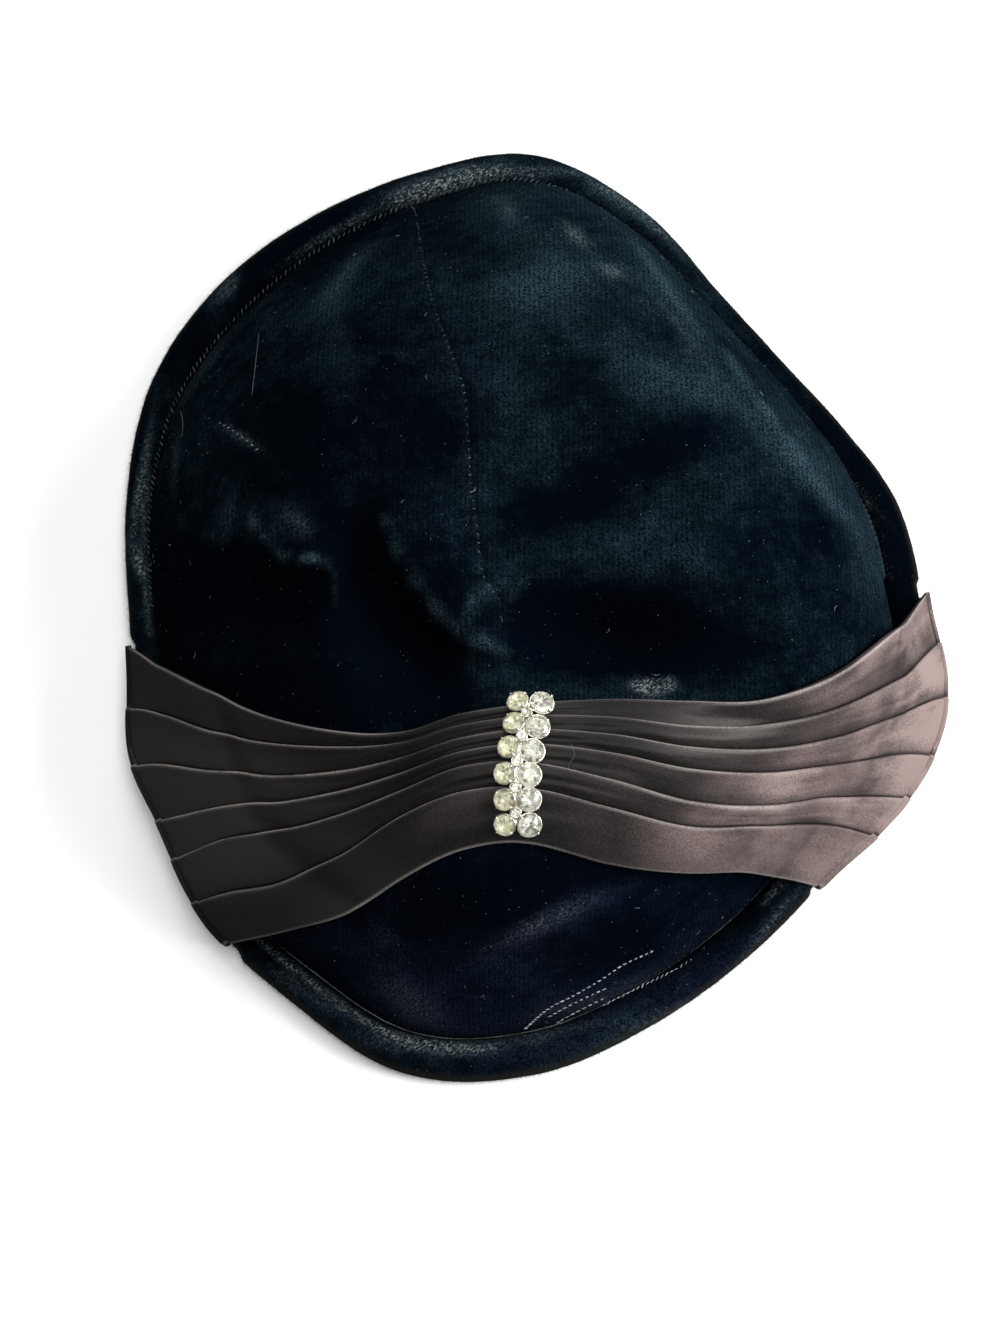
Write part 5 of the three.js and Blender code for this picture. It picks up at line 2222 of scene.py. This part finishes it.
@dataclass(frozen=True)
class Studio:
    """A plain pale floor, a pale room and soft lights from the right, from behind and from above."""

    room: float = 0.20
    floor_size: float = 6.0
    floor_tone: Colour = (0.84, 0.84, 0.84)
    lights: tuple[SoftBox, ...] = (
        SoftBox("key_right", bearing=-2, elevation=34, distance=1.3, size=0.66, watts=32),
        SoftBox("back", bearing=88, elevation=36, distance=1.5, size=0.8, watts=14),
        SoftBox("above", bearing=0, elevation=88, distance=1.6, size=1.2, watts=18),
    )

    def build(self) -> None:
        """Adds the room, its lights and the floor."""
        scene = bpy.context.scene
        world = bpy.data.worlds.new("pale_room")
        world.use_nodes = True
        background = world.node_tree.nodes["Background"]
        background.inputs["Color"].default_value = (1, 1, 1, 1)
        background.inputs["Strength"].default_value = self.room
        scene.world = world
        scene.view_settings.view_transform = "Standard"
        for light in self.lights:
            light.build()
        board = ShaderBoard("floor_paper")
        change = board.noise(board.places(), 0.01, 2)
        tone = board.mix(change, self.floor_tone, dimmed(self.floor_tone, 0.98))
        paper = board.done(board.principled(Base_Color=tone, Roughness=0.8))
        floor = Cloth("floor")
        half = self.floor_size / 2 / METRES
        corners = ((-half, -half, 0), (half, -half, 0), (half, half, 0), (-half, half, 0))
        floor.face(floor.row(np.array(corners)))
        floor.made(paper)


def reported(piece: Piece) -> Piece:
    """Logs a piece and passes it on."""
    LOG.info("%s: %d faces", piece.name, len(piece.data.polygons))
    return piece


def main() -> None:
    """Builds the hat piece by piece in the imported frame."""
    logging.basicConfig(level=logging.INFO, format="%(message)s")
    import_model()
    view = PhotoView()
    view.make_camera()
    form = HatForm()
    velvet = Velvet("crown_velvet").material()
    roll_velvet = Velvet("edge_velvet", ribbing=0.0, sheen=0.004).material()
    seam_thread = Thread("seam_thread", (0.006, 0.010, 0.012), (0.085, 0.095, 0.100), shine=0.1).material()
    pale_thread = Thread("worn_ground", (0.20, 0.22, 0.24), (0.50, 0.52, 0.53)).material()
    fluff = Thread("fluff", (0.05, 0.06, 0.065), (0.24, 0.26, 0.26)).material()
    silk = Thread("pile_silk", (0.001, 0.002, 0.003), (0.006, 0.010, 0.012), shine=0.05).material()
    metal = Plating("dulled_plating").material()

    crown = Crown(form, view)
    crown_piece = reported(crown.build(velvet))
    roll_piece = reported(EdgeRoll(form, view).build(roll_velvet))
    reported(SatinBand(form).build(Satin("band_satin").material()))
    clasp = Clasp(form)
    reported(clasp.build_setting(metal))
    foils = {
        Stone.LARGE: Foil("foil_large", dark=(0.22, 0.22, 0.18), age=0.3),
        Stone.SMALL: Foil("foil_small", (1.0, 0.98, 0.74), dark=(0.32, 0.31, 0.22), age=0.6, mirror=0.15),
        Stone.ACCENT: Foil("foil_accent", age=0.5),
    }
    glass = {kind: Paste(f"paste_{kind.name.lower()}").material() for kind in Stone}
    for stone in clasp.build_stones({kind: (glass[kind], foil.material()) for kind, foil in foils.items()}):
        reported(stone)

    trim = Trimmings(form, view, StitchTree())
    strewn = FluffTree()
    reported(trim.edge_stitches(seam_thread))
    reported(trim.seam_stitches(crown, seam_thread))
    reported(trim.worn_threads(crown, pale_thread))
    reported(trim.seam_cord(roll_velvet))
    reported(trim.hairs(Thread("pale_hair", (0.04, 0.05, 0.05), (0.15, 0.17, 0.17)).material()))
    reported(trim.pile(strewn, roll_piece, silk))
    reported(trim.lint(strewn, (crown_piece, roll_piece), fluff))
    Studio().build()


if __name__ == "__main__":
    main()
